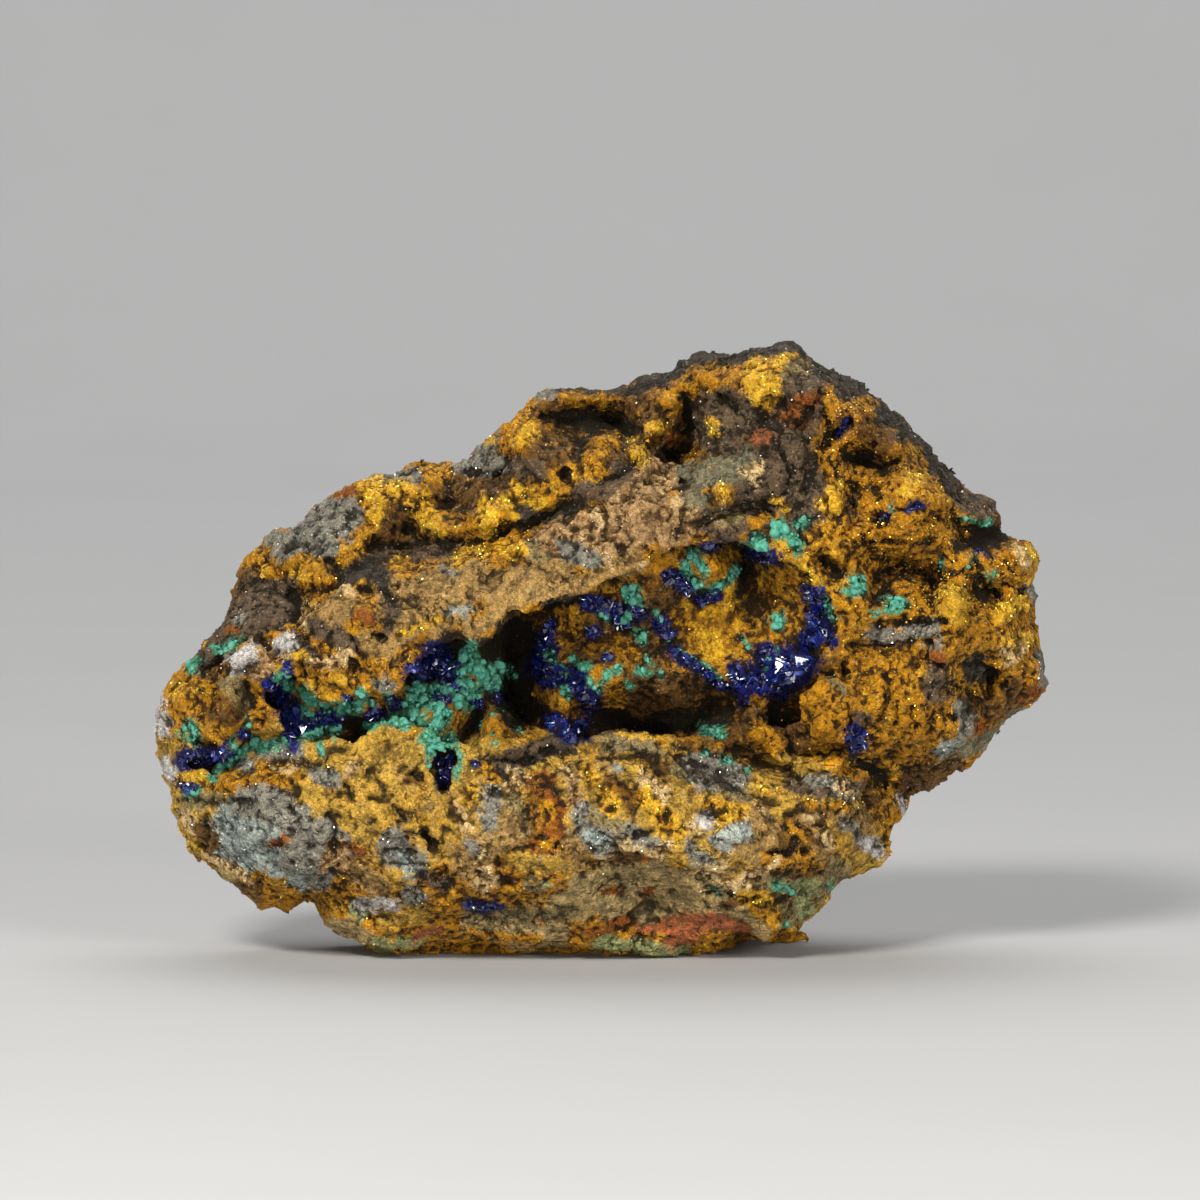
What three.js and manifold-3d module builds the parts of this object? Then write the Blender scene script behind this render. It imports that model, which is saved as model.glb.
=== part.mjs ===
// Azurite specimen: a lump of iron-stained host rock with an open vug across its
// front face, lined with small dark-blue azurite crystals and green malachite
// crusts, and a few chips of white quartz. Millimetres, +Z up, resting on Z = 0,
// origin under the middle of the lump, front face towards -Y.

import * as THREE from 'three';
import { mergeVertices } from 'three/addons/utils/BufferGeometryUtils.js';
import Module from 'manifold-3d';

// ------------------------------------------------------------ driving dimensions
const SPECIMEN_LENGTH = 96;      // left tip to right tip
const DRAWN_LENGTH = 897.6;      // the same length in drawing units
const UNIT = DRAWN_LENGTH / SPECIMEN_LENGTH;   // drawing units per millimetre
const DRAWN_CENTRE = [601, 600]; // drawing point on the line of sight
const SIGHT_DISTANCE = 800;      // the front elevation is drawn from this far away
const SIGHT_TILT = 4 * Math.PI / 180;          // looking down by this much
const SIGHT_HEIGHT = 37.7;       // height of the point looked at
const BACK_DEPTH = 24.5;         // how far the back bulges behind the middle plane
const ROCK_DETAIL = 11;          // subdivisions of the sphere the rock is pulled from
const HUB = [600, 665];          // drawing point that the outline is spread around
const PLUG_STEP = 16;            // drawing units between the vug floor's points
const SKIN_GAP = 0.4;            // clearance between a crust and the rock under it
const CRYSTAL_SLIMNESS = 0.42;   // thickness of an azurite blade against its width
const CENTRING = [0.14, -2.03];  // moves the lump so that its box is centred on the origin

// ------------------------------------------------------------ drawn data
// Outline of the front elevation, x to the right and y down, in drawing units.
const OUTLINE = [
  [791,343],[809,350],[838,376],[853,377],[862,381],[881,394],[891,405],[896,406],[941,452],[949,464],
  [990,495],[1008,524],[1031,541],[1037,548],[1031,576],[1032,588],[1038,598],[1033,607],[1031,625],[1038,636],
  [1039,653],[1048,687],[1041,698],[1042,703],[1017,720],[1005,733],[987,740],[933,793],[920,797],[907,806],
  [893,821],[883,857],[855,877],[843,880],[796,929],[780,931],[766,940],[751,931],[734,932],[722,939],
  [699,945],[690,952],[681,952],[677,959],[661,956],[653,959],[648,954],[636,953],[632,949],[606,948],
  [596,942],[574,943],[552,939],[508,946],[496,941],[461,943],[450,940],[418,947],[397,952],[358,937],
  [348,938],[330,925],[318,902],[308,893],[288,904],[270,899],[257,901],[226,880],[197,851],[187,836],
  [181,825],[181,816],[175,808],[177,802],[173,794],[176,784],[165,773],[165,764],[152,739],[164,689],
  [201,653],[208,636],[235,605],[233,592],[238,581],[237,573],[246,559],[262,553],[274,532],[295,531],
  [318,505],[338,493],[361,487],[376,477],[394,478],[426,462],[439,463],[452,458],[465,458],[485,436],
  [495,433],[508,421],[512,421],[549,387],[557,390],[587,392],[603,387],[615,389],[649,375],[661,374],
  [692,357],[721,357],[751,350],[767,351]];

// Relief of the front: [x, y, millimetres in front of the middle plane].
const RELIEF = [
  // along the rim
  [791,343,2],[700,357,1],[650,375,-2],[600,389,-2],[549,388,2],[507,421,3],[452,458,2],[400,476,4],[350,489,4],
  [317,505,4],[273,532,3],[240,562,2],[233,595,4],[207,637,6],[177,675,6],[153,735,5],[166,775,6],[176,805,8],
  [197,851,5],[226,880,5],[270,899,8],[308,892,9],[330,925,8],[397,951,8],[450,940,9],[550,940,10],[600,943,10],
  [680,953,9],[740,931,9],[766,939,10],[800,928,8],[850,879,5],[884,855,3],[894,820,2],[934,793,0],[988,740,-1],
  [1018,720,-2],[1046,690,0],[1037,640,1],[1034,590,1],[1034,548,1],[1008,524,-4],[990,495,-6],[941,452,-6],
  [894,405,-6],[860,381,-5],[829,368,-3],[808,352,0],
  // the edge where the front turns into the dark broken face at the upper right
  [800,356,5],[826,376,8],[866,414,9],[896,444,9],[934,484,8],[950,504,7],[954,522,6],
  // upper part
  [700,374,4],[660,397,5],[740,367,7],[775,362,8],[760,380,10],[800,395,12],[842,402,11],[835,428,12],[872,430,9],
  [552,402,4],[600,402,3],[640,394,1],[560,440,8],[600,420,2],[625,428,2],[608,448,10],[650,430,8],[640,455,11],
  [665,452,5],[690,400,6],[690,430,4],[716,425,10],[505,432,5],[525,440,9],[520,466,10],[488,444,3],[468,466,3],
  [540,482,11],[582,472,12],[560,492,13],[490,512,11],[450,485,4],[400,492,5],[380,515,6],[430,515,6],[400,535,5],
  [360,520,6],[365,548,9],[345,500,5],[310,530,6],[275,550,5],[305,572,7],[260,575,5],[255,595,8],[290,592,8],
  [250,625,11],[285,620,12],[225,650,10],[242,660,13],[284,643,14],[200,690,9],[175,715,8],[228,690,12],[225,718,12],
  [262,718,10],[270,668,14],
  // the tan slab above the vug
  [300,640,16],[320,605,15],[350,620,18],[330,665,18],[380,590,16],[400,625,19],[380,672,19],[430,572,15],[450,605,20],
  [480,565,17],[500,592,20],[520,562,18],[540,522,14],[560,542,17],[562,582,19],[600,520,16],[600,562,18],[650,500,17],
  [650,540,17],[700,500,16],[700,530,15],[720,472,15],[740,522,15],[770,520,14],[780,500,14],[800,480,14],[760,462,14],
  [800,450,13],[740,402,11],[760,422,10],[790,422,11],[720,400,9],
  // across the vug mouth
  [440,680,19],[520,660,20],[600,640,19],[680,620,17],[760,600,15],[820,600,13],[780,660,15],[700,700,16],[560,710,19],
  [330,715,17],[280,720,14],[230,755,11],[390,710,19],
  // right-hand mass
  [850,700,13],[900,680,14],[950,640,13],[900,725,13],[930,742,9],[955,600,13],[1000,620,8],[1010,650,7],[1028,680,4],
  [985,680,4],[960,715,8],[880,642,11],[920,632,12],[900,605,11],[866,592,12],[930,572,7],[880,566,7],[900,545,12],
  [860,546,12],[940,532,10],[915,490,12],[890,468,9],[868,456,6],[842,462,9],[832,500,13],[870,502,11],[960,552,8],
  [978,530,3],[990,512,1],[1022,552,4],[1000,562,6],[1018,582,4],[985,592,5],[975,740,4],[1000,715,2],
  [860,740,11],[830,735,12],[880,765,7],[920,772,3],[900,790,1],[800,745,10],
  // lower mass
  [215,790,12],[250,775,14],[300,768,18],[350,750,19],[400,762,19],[205,830,9],[250,830,15],[300,830,18],[350,830,19],
  [400,850,19],[450,860,19],[460,800,19],[500,800,20],[545,820,20],[600,790,20],[650,780,19],[700,800,18],[740,800,16],
  [760,840,17],[820,820,13],[850,800,11],[856,840,8],[800,870,13],[640,850,20],[560,880,18],[480,885,17],[400,885,16],
  [300,880,13],[250,870,10],[215,860,6],[760,900,13],[720,865,18],[790,905,10],
  [350,905,11],[430,915,12],[500,915,12],[380,930,10],[560,915,13],[620,880,14],[650,905,9],[650,935,9],[600,930,11],
  [710,915,12],[550,765,19],[600,750,19],[660,750,17],[720,765,14],[760,780,12],[800,785,12]];

// Ridges (+) and hollows (-) laid over the relief: [radius, millimetres, path].
const STROKES = [
  [10,-4,[[372,545],[388,552],[410,545],[440,548],[470,545],[500,535]]],
  [9,-3,[[505,532],[530,530],[555,515],[575,500]]],
  [13,-6,[[560,415],[590,412],[615,420],[630,435]]],
  [10,-4,[[690,402],[689,420],[686,444]]],
  [10,-4,[[664,450],[682,452]]],
  [24,3,[[757,380],[764,376]]],
  [17,3,[[596,448],[612,444]]],
  [12,3,[[640,466],[640,446],[652,430]]],
  [16,3,[[490,500],[490,520]]],
  [13,3,[[556,402],[592,402]]],
  [15,2,[[302,568],[318,576]]],
  [17,3,[[228,692],[228,712]]],
  [14,2,[[262,715],[266,718]]],
  [13,-3,[[850,456],[872,456],[884,466]]],
  [13,-4,[[962,532],[985,536],[1008,534]]],
  [10,-4,[[872,580],[900,566],[930,574],[936,590]]],
  [10,-4,[[824,562],[834,572]]],
  [18,4,[[953,600],[957,600]]],
  [20,2,[[905,488],[912,494]]],
  [14,4,[[1024,548],[1026,556]]],
  [10,-4,[[975,588],[992,594]]],
  [12,-4,[[992,672],[986,692]]],
  [12,-5,[[850,762],[870,768],[886,782]]],
  [8,-3,[[790,750],[838,753]]],
  [12,-4,[[735,752],[762,764],[785,770]]],
  [9,-5,[[428,832],[433,846]]],
  [9,-3,[[398,812],[406,818]]]];

// Mouths of the hollows in the front face, as closed outlines.
const MOUTHS = [
  [[403,690],[404,676],[410,666],[420,658],[432,641],[446,636],[455,628],[466,635],[480,640],[488,634],[497,626],[508,612],
   [523,610],[530,604],[548,602],[575,595],[592,590],[606,582],[622,574],[640,562],[655,551],[668,545],[690,545],[712,544],
   [738,537],[748,541],[760,548],[775,552],[790,556],[803,565],[812,578],[822,590],[834,596],[838,612],[838,632],[828,645],
   [818,660],[822,675],[812,690],[800,700],[800,716],[792,728],[780,733],[768,728],[755,735],[745,745],[730,748],[712,745],
   [698,738],[660,736],[640,734],[620,731],[604,733],[592,740],[580,745],[552,740],[540,742],[528,738],[515,744],[500,742],
   [488,738],[480,745],[470,748],[462,744],[440,745],[428,738],[416,730],[404,724],[395,716],[392,702]],
  [[262,700],[264,688],[272,680],[282,674],[294,668],[300,678],[308,688],[320,696],[332,704],[345,700],[356,694],[372,694],
   [385,696],[398,694],[404,704],[400,716],[388,724],[372,728],[360,740],[348,745],[335,738],[318,742],[300,745],[285,745],
   [270,752],[255,756],[242,762],[232,772],[222,780],[212,782],[205,772],[190,768],[182,760],[186,752],[200,750],[215,752],
   [228,750],[240,740],[246,730],[262,732],[276,735],[284,730],[280,718],[272,706]],
  [[427,754],[436,746],[448,744],[459,744],[461,756],[458,770],[454,784],[446,794],[438,792],[431,780],[427,766]]];

// Depth of their floors: [x, y, millimetres in front of the middle plane].
const FLOOR = [
  [515,650,-6],[512,690,-5],[518,722,1],[500,620,3],[540,612,3],[430,655,6],[450,660,7],[410,680,8],[420,700,13],
  [440,692,12],[445,715,14],[430,730,15],[408,712,14],[480,660,10],[495,668,8],[470,682,11],[482,692,8],[475,715,5],
  [475,735,9],[463,705,12],[490,715,13],[503,715,13],[497,735,16],[520,738,14],[545,735,12],[545,720,8],[565,722,7],
  [545,700,7],[540,670,6],[545,640,5],[560,620,6],[572,612,9],[570,640,8],[575,665,10],[590,690,10],[600,620,9],
  [630,600,10],[650,600,12],[655,575,13],[680,560,11],[640,640,9],[620,660,10],[610,690,10],[650,680,8],[690,690,6],
  [670,700,7],[620,717,-1],[660,719,0],[700,717,0],[590,720,1],[735,715,3],[680,640,8],[700,620,7],[690,600,8],
  [720,640,7],[722,672,7],[745,600,4],[745,565,1],[755,580,4],[770,580,7],[790,600,8],[770,640,8],[760,660,8],
  [700,560,11],[720,567,13],[720,588,10],[700,590,9],[740,545,2],[760,550,8],[780,560,11],[750,690,8],[780,670,9],
  [800,650,9],[820,610,10],[830,620,11],[800,680,9],[780,715,1],[775,702,4],[750,715,8],[760,733,9],[720,735,10],
  [730,725,8],[275,690,7],[290,700,7],[290,725,6],[310,700,10],[330,715,7],[350,715,8],[345,735,4],[370,712,9],
  [390,712,9],[260,740,7],[240,750,7],[215,760,5],[195,760,5],[230,765,8],[310,735,8],[444,768,3],[440,756,5]];

// Crystal groups and crusts: path points [x, y], then the size of one growth in
// drawing units. Each path is one group grown together.
const AZURITE = {
  azurite_left_tip: [9, [[198,759],[218,758]]],
  azurite_cleft: [13, [[282,690],[289,712],[302,726],[326,717]]],
  azurite_vug_left: [13, [[418,670],[436,664],[451,678]]],
  azurite_pillar: [14, [[541,650],[550,676],[574,690]]],
  azurite_sill: [10, [[550,718],[562,728]]],
  azurite_ledge_top: [11, [[596,608],[618,621]]],
  azurite_ledge_rib: [8, [[660,630],[676,648],[694,660]]],
  azurite_nodule_rim: [9, [[674,581],[698,594]]],
  azurite_pocket_top: [9, [[757,554]]],
  azurite_band: [17, [[742,682],[768,684],[792,664],[810,640],[817,614]]],
  azurite_right_low: [11, [[857,739]]],
  azurite_lower_seam: [7, [[470,905],[490,906]]] };
const MALACHITE = {
  malachite_cleft_rim: [9, [[221,769],[238,751],[260,743],[284,741],[308,735],[328,731]]],
  malachite_cleft_back: [10, [[288,684],[308,703]]],
  malachite_cleft_mid: [10, [[344,710],[366,702]]],
  malachite_vug_main: [14, [[412,704],[424,720],[442,732],[438,702]]],
  malachite_vug_upper: [13, [[466,660],[488,672]]],
  malachite_slot_wall: [6, [[457,774],[461,762],[462,750]]],
  malachite_ledge_top: [9, [[636,600],[626,616],[638,632]]],
  malachite_nodule_ring: [8, [[692,574],[710,588],[728,579]]],
  malachite_pocket_top: [11, [[757,541]]],
  malachite_pocket_crown: [12, [[778,530],[796,538],[808,525]]],
  malachite_pocket_mid: [10, [[778,622]]],
  malachite_right_upper: [11, [[856,580]]],
  malachite_right_lower: [10, [[886,606],[900,604]]],
  malachite_lower_lip: [9, [[708,731],[722,736]]],
  malachite_base_right: [9, [[774,887],[790,894]]] };
const QUARTZ = {
  quartz_left_edge: [10, [[162,708],[161,726]]],
  quartz_left_face: [11, [[244,659]]],
  quartz_druse: [9, [[284,642]]],
  quartz_lower_left: [9, [[366,905],[382,905]]],
  quartz_lower_right: [7, [[902,801]]] };

// ------------------------------------------------------------ the drawing in space
const CT = Math.cos(SIGHT_TILT), ST = Math.sin(SIGHT_TILT);
function toDrawing(x, y, z) {
  const v = z - SIGHT_HEIGHT, depth = SIGHT_DISTANCE + y * CT - v * ST;
  const k = UNIT * SIGHT_DISTANCE / depth;
  return [DRAWN_CENTRE[0] + k * x, DRAWN_CENTRE[1] - k * (y * ST + v * CT)];
}
function fromDrawing(px, py, y) {
  const a = (px - DRAWN_CENTRE[0]) / UNIT / SIGHT_DISTANCE;
  const b = (DRAWN_CENTRE[1] - py) / UNIT / SIGHT_DISTANCE;
  const v = (b * (SIGHT_DISTANCE + y * CT) - y * ST) / (CT + b * ST);
  return new THREE.Vector3(a * (SIGHT_DISTANCE + y * CT - v * ST), y, v + SIGHT_HEIGHT);
}

// Smooth surface through scattered points (thin plate).
function plate(points, stiff) {
  const n = points.length, m = n + 3, s = 100;
  const kern = (dx, dy) => { const r2 = dx * dx + dy * dy; return r2 > 1e-12 ? r2 * Math.log(r2) / 2 : 0; };
  const A = Array.from({ length: m }, () => new Float64Array(m + 1));
  for (let i = 0; i < n; i++) {
    for (let j = 0; j < n; j++) A[i][j] = kern((points[i][0] - points[j][0]) / s, (points[i][1] - points[j][1]) / s);
    A[i][i] += stiff;
    const row = [1, points[i][0] / s, points[i][1] / s];
    for (let k = 0; k < 3; k++) { A[i][n + k] = row[k]; A[n + k][i] = row[k]; }
    A[i][m] = points[i][2];
  }
  for (let c = 0; c < m; c++) {
    let p = c;
    for (let r = c + 1; r < m; r++) if (Math.abs(A[r][c]) > Math.abs(A[p][c])) p = r;
    [A[c], A[p]] = [A[p], A[c]];
    for (let r = 0; r < m; r++) {
      if (r === c) continue;
      const f = A[r][c] / A[c][c];
      if (f !== 0) for (let k = c; k <= m; k++) A[r][k] -= f * A[c][k];
    }
  }
  const w = A.map((row, i) => row[m] / row[i]);
  return (x, y) => {
    let v = w[n] + w[n + 1] * x / s + w[n + 2] * y / s;
    for (let i = 0; i < n; i++) v += w[i] * kern((x - points[i][0]) / s, (y - points[i][1]) / s);
    return v;
  };
}
function toSegment(px, py, a, b) {
  const dx = b[0] - a[0], dy = b[1] - a[1];
  const t = Math.min(1, Math.max(0, ((px - a[0]) * dx + (py - a[1]) * dy) / (dx * dx + dy * dy || 1)));
  return Math.hypot(px - a[0] - t * dx, py - a[1] - t * dy);
}
function toPolygon(px, py, poly) {            // negative inside
  let d = Infinity, inside = false;
  for (let i = 0, j = poly.length - 1; i < poly.length; j = i++) {
    d = Math.min(d, toSegment(px, py, poly[j], poly[i]));
    const [xi, yi] = poly[i], [xj, yj] = poly[j];
    if ((yi > py) !== (yj > py) && px < (xj - xi) * (py - yi) / (yj - yi) + xi) inside = !inside;
  }
  return inside ? -d : d;
}
function sampled(fn, x0, y0, x1, y1, step) {
  const nx = Math.ceil((x1 - x0) / step) + 1, ny = Math.ceil((y1 - y0) / step) + 1;
  const v = new Float64Array(nx * ny);
  for (let j = 0; j < ny; j++) for (let i = 0; i < nx; i++) v[j * nx + i] = fn(x0 + i * step, y0 + j * step);
  return (x, y) => {
    const u = Math.min(nx - 1.001, Math.max(0, (x - x0) / step)), w = Math.min(ny - 1.001, Math.max(0, (y - y0) / step));
    const i = Math.floor(u), j = Math.floor(w), a = u - i, b = w - j, k = j * nx + i;
    return (v[k] * (1 - a) + v[k + 1] * a) * (1 - b) + (v[k + nx] * (1 - a) + v[k + nx + 1] * a) * b;
  };
}

const reliefPlate = plate(RELIEF, 0.004);
const relief = sampled((x, y) => {
  let t = reliefPlate(x, y);
  for (const [radius, lift, path] of STROKES) {
    let d = Infinity;
    for (let i = 1; i < path.length; i++) d = Math.min(d, toSegment(x, y, path[i - 1], path[i]));
    if (d < radius * 1.6) { const q = 1 - (d / (radius * 1.6)) ** 2; t += lift * q * q; }
  }
  return Math.min(21.5, t);
}, 130, 320, 1070, 980, 5);
const edge = sampled((x, y) => toPolygon(x, y, OUTLINE) / UNIT, 100, 290, 1100, 1010, 4);
const floor = plate(FLOOR, 0.004);

// The back: broad broken faces meeting at blunt edges, y = c + a x + b (z - 33).
const BACK_FACES = [
  [BACK_DEPTH, -0.10, -0.04], [BACK_DEPTH + 6.0, 0.46, -0.10], [BACK_DEPTH + 9.5, -0.52, 0.06],
  [BACK_DEPTH + 5.5, -0.10, -0.62], [BACK_DEPTH + 4.0, 0.04, 0.42], [BACK_DEPTH + 7.0, 0.40, -0.46],
  [BACK_DEPTH + 8.0, -0.34, 0.52], [BACK_DEPTH + 7.5, 0.36, 0.50]];
function back(x, z) {
  let y = Infinity;
  for (const [c, a, b] of BACK_FACES) y = Math.min(y, c + a * x + b * (z - 33));
  return y;
}
function blend(a, b, k) { const h = Math.max(0, k - Math.abs(a - b)); return Math.max(a, b) + h * h / (4 * k); }
function ramp(v, lo, hi) { const t = Math.min(1, Math.max(0, (v - lo) / (hi - lo))); return t * t * (3 - 2 * t); }
function rock(x, y, z) {                      // negative inside the rock
  const [px, py] = toDrawing(x, y, z);
  const foot = 1 - ramp(z, 3, 12);            // near the base the sides stay steep
  const lean = (0.30 * Math.max(0, y - 1) + 0.012 * Math.max(0, y - 1) ** 2) * (1 - foot);
  const side = edge(px, py) + lean - 1.6 * foot * ramp(y, -5, 2);
  return blend(blend((-relief(px, py) - y) * 0.75, side, 1.5), (y - back(x, z)) * 0.9, 1.2);
}

// ------------------------------------------------------------ solids
const wasm = await Module();
wasm.setup();
function welded(geometry) {
  geometry.deleteAttribute('normal');
  geometry.deleteAttribute('uv');
  return mergeVertices(geometry, 1e-5);
}
function solid(geometry) {
  const g = geometry.index && !geometry.attributes.normal ? geometry : welded(geometry);
  return new wasm.Manifold(new wasm.Mesh({ numProp: 3, vertProperties: Float32Array.from(g.attributes.position.array), triVerts: Uint32Array.from(g.index.array) }));
}
function geometryOf(body) {
  const m = body.getMesh(), g = new THREE.BufferGeometry(), p = new Float32Array(m.numVert * 3);
  for (let i = 0; i < m.numVert; i++) for (let k = 0; k < 3; k++) p[3 * i + k] = m.vertProperties[i * m.numProp + k];
  g.setAttribute('position', new THREE.BufferAttribute(p, 3));
  g.setIndex(new THREE.BufferAttribute(Uint32Array.from(m.triVerts), 1));
  g.computeVertexNormals();
  return g;
}
let seed = 20417;
function chance() {
  seed = (seed + 0x6D2B79F5) | 0;
  let t = Math.imul(seed ^ (seed >>> 15), 1 | seed);
  t = (t + Math.imul(t ^ (t >>> 7), 61 | t)) ^ t;
  return ((t ^ (t >>> 14)) >>> 0) / 4294967296;
}

// The rock: a fine sphere. Its front half is laid over the front relief and its
// back half over the back, the equator on the outline; then the base is cut flat.
const ball = welded(new THREE.IcosahedronGeometry(1, ROCK_DETAIL));
const bp = ball.attributes.position;
function reach(px, py, fromBack) {            // first rock met along a line of sight
  let best = Infinity, at = 0;
  for (let k = 0; k <= 150; k++) {
    const y = fromBack ? 34 - 0.4 * k : -26 + 0.4 * k, v = fromDrawing(px, py, y), f = rock(v.x, v.y, v.z);
    if (f < best) { best = f; at = y; }
    if (f < 0) {
      let lo = y, hi = y + (fromBack ? 0.4 : -0.4);
      for (let i = 0; i < 16; i++) {
        const mid = (lo + hi) / 2, w = fromDrawing(px, py, mid);
        if (rock(w.x, w.y, w.z) < 0) lo = mid; else hi = mid;
      }
      return { y: lo, inside: true };
    }
  }
  return { y: at, inside: false };
}
function rimDistance(c, s) {                  // how far the outline is from the hub
  let lo = 0, hi = 620;
  for (let r = 620; r > 0; r -= 4) if (edge(HUB[0] + c * r, HUB[1] + s * r) < 0) { lo = r; hi = r + 4; break; }
  for (let i = 0; i < 12; i++) {
    const mid = (lo + hi) / 2;
    if (edge(HUB[0] + c * mid, HUB[1] + s * mid) < 0) lo = mid; else hi = mid;
  }
  return lo;
}
for (let i = 0; i < bp.count; i++) {
  const x = bp.getX(i), y = bp.getY(i), z = bp.getZ(i), flat = Math.hypot(x, z) || 1e-9;
  // the sphere is stretched first, so that its points spread evenly over the lump
  const ex = x * 48, ez = z * 31, el = Math.hypot(ex, ez) || 1e-9, c = ex / el, s = -ez / el;
  const part = Math.min(1, flat) ** 0.92, behind = y > 1e-6;
  const rim = rimDistance(c, s) - 1;
  let r = rim * part, hit = reach(HUB[0] + c * r, HUB[1] + s * r, behind);
  for (let k = 0; k < 12 && !hit.inside; k++) { r -= 2; hit = reach(HUB[0] + c * r, HUB[1] + s * r, behind); }
  if (Math.abs(y) <= 1e-6) hit.y = (hit.y + reach(HUB[0] + c * r, HUB[1] + s * r, true).y) / 2;
  const v = fromDrawing(HUB[0] + c * r, HUB[1] + s * r, hit.y);
  const drop = 2.6 * ramp(v.y, -7, 3) * (1 - ramp(v.z, 1, 8));   // the base reaches below its cut
  bp.setXYZ(i, v.x, v.y, v.z - drop);
}
let matrixBody = solid(ball);
const ground = welded(new THREE.BoxGeometry(140, 90, 20));
ground.translate(0, 0, -10);
matrixBody = matrixBody.subtract(solid(ground));

// Each hollow: a block with its far face shaped as the hollow's floor, cut away.
function hollow(mouth, inset) {
  const xs = mouth.map(p => p[0]), ys = mouth.map(p => p[1]);
  const x0 = Math.min(...xs) - PLUG_STEP, x1 = Math.max(...xs) + PLUG_STEP;
  const y0 = Math.min(...ys) - PLUG_STEP, y1 = Math.max(...ys) + PLUG_STEP;
  const nx = Math.round((x1 - x0) / PLUG_STEP), ny = Math.round((y1 - y0) / PLUG_STEP);
  const block = welded(new THREE.BoxGeometry(1, 1, 1, nx, ny, 1)), q = block.attributes.position;
  for (let i = 0; i < q.count; i++) {
    let px = x0 + (q.getX(i) + 0.5) * (x1 - x0), py = y1 - (q.getY(i) + 0.5) * (y1 - y0), t = 34;
    const d = toPolygon(px, py, mouth) + inset;
    if (Math.abs(d) < 0.45 * PLUG_STEP) {     // points near the edge are drawn onto it
      const gx = toPolygon(px + 1, py, mouth) - toPolygon(px - 1, py, mouth), gy = toPolygon(px, py + 1, mouth) - toPolygon(px, py - 1, mouth);
      const g = Math.hypot(gx, gy) || 1;
      px -= d * gx / g; py -= d * gy / g;
    }
    if (q.getZ(i) < 0) t = d < 0.45 * PLUG_STEP ? floor(px, py) : Math.min(33, relief(px, py) + 4);
    const v = fromDrawing(px, py, -t);
    q.setXYZ(i, v.x, v.y, v.z);
  }
  return solid(block);
}
matrixBody = matrixBody.subtract(hollow(MOUTHS[0], 7)).subtract(hollow(MOUTHS[1], 5)).subtract(hollow(MOUTHS[2], 4));
{
  const parts = matrixBody.decompose();
  matrixBody = parts.reduce((a, b) => (b.volume() > a.volume() ? b : a));
}

// Everything that a crust must stay clear of: the rock, and then each crust made.
// Each is grown by the clearance, by moving its vertices out along their normals.
function swollen(body) {
  const g = geometryOf(body), p = g.attributes.position, n = g.attributes.normal;
  for (let i = 0; i < p.count; i++)
    p.setXYZ(i, p.getX(i) + n.getX(i) * SKIN_GAP, p.getY(i) + n.getY(i) * SKIN_GAP, p.getZ(i) + n.getZ(i) * SKIN_GAP);
  g.deleteAttribute('normal');
  return solid(g);
}
const taken = [{ body: swollen(matrixBody), box: null }, { body: matrixBody, box: null }];
const surface = new THREE.Mesh(geometryOf(matrixBody), new THREE.MeshStandardMaterial({ side: THREE.DoubleSide }));
const eye = new THREE.Vector3(0, -SIGHT_DISTANCE * CT, SIGHT_HEIGHT + SIGHT_DISTANCE * ST);
function onSurface(px, py) {
  const ray = new THREE.Raycaster(eye, fromDrawing(px, py, 0).sub(eye).normalize());
  const hit = ray.intersectObject(surface)[0];
  if (hit) return { point: hit.point, normal: hit.face.normal.clone() };
  return { point: fromDrawing(px, py, 1), normal: new THREE.Vector3(0, -1, 0) };
}
function placed(geometry, point, axis, turn, size) {
  const m = new THREE.Matrix4().compose(point,
    new THREE.Quaternion().setFromUnitVectors(new THREE.Vector3(0, 0, 1), axis)
      .multiply(new THREE.Quaternion().setFromAxisAngle(new THREE.Vector3(0, 0, 1), turn)), size);
  const g = welded(geometry);
  g.applyMatrix4(m);
  return solid(g);
}
function bladeGroup(path, size) {             // azurite: slim blades fanning out
  let group = null;
  const r = size / UNIT, add = s => { group = group ? group.add(s) : s; };
  path.forEach((p, i) => {
    const { point, normal } = onSurface(p[0], p[1]);
    const root = point.clone().addScaledVector(normal, 0.12 * r);
    add(placed(new THREE.OctahedronGeometry(1, 0), root, normal, chance() * 3, new THREE.Vector3(1.3 * r, 1.3 * r, 0.8 * r)));
    for (let k = 0; k < 1 + i % 2; k++) {
      const a = chance() * 6.283, lean = 0.35 + 0.5 * chance();
      const side = new THREE.Vector3(Math.cos(a), -0.4, Math.sin(a)).normalize();
      const axis = normal.clone().multiplyScalar(1 - lean).addScaledVector(side, lean).normalize();
      const long = (1.05 + 0.45 * chance()) * r;
      add(placed(new THREE.OctahedronGeometry(1, 0), root.clone().addScaledVector(axis, 0.55 * long), axis, chance() * 3,
        new THREE.Vector3(0.62 * r, 0.62 * r * CRYSTAL_SLIMNESS * 1.4, long)));
    }
    const next = path[i + 1];
    if (next) {
      const b = onSurface(next[0], next[1]).point, gap = b.distanceTo(point);
      if (gap > 1.5 * r) {
        const axis = b.clone().sub(point).normalize();
        add(placed(new THREE.OctahedronGeometry(1, 0), point.clone().lerp(b, 0.5).addScaledVector(normal, 0.3 * r), axis, 0.7,
          new THREE.Vector3(0.8 * r, 0.8 * r, gap * 0.75)));
      }
    }
  });
  return group;
}
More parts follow.
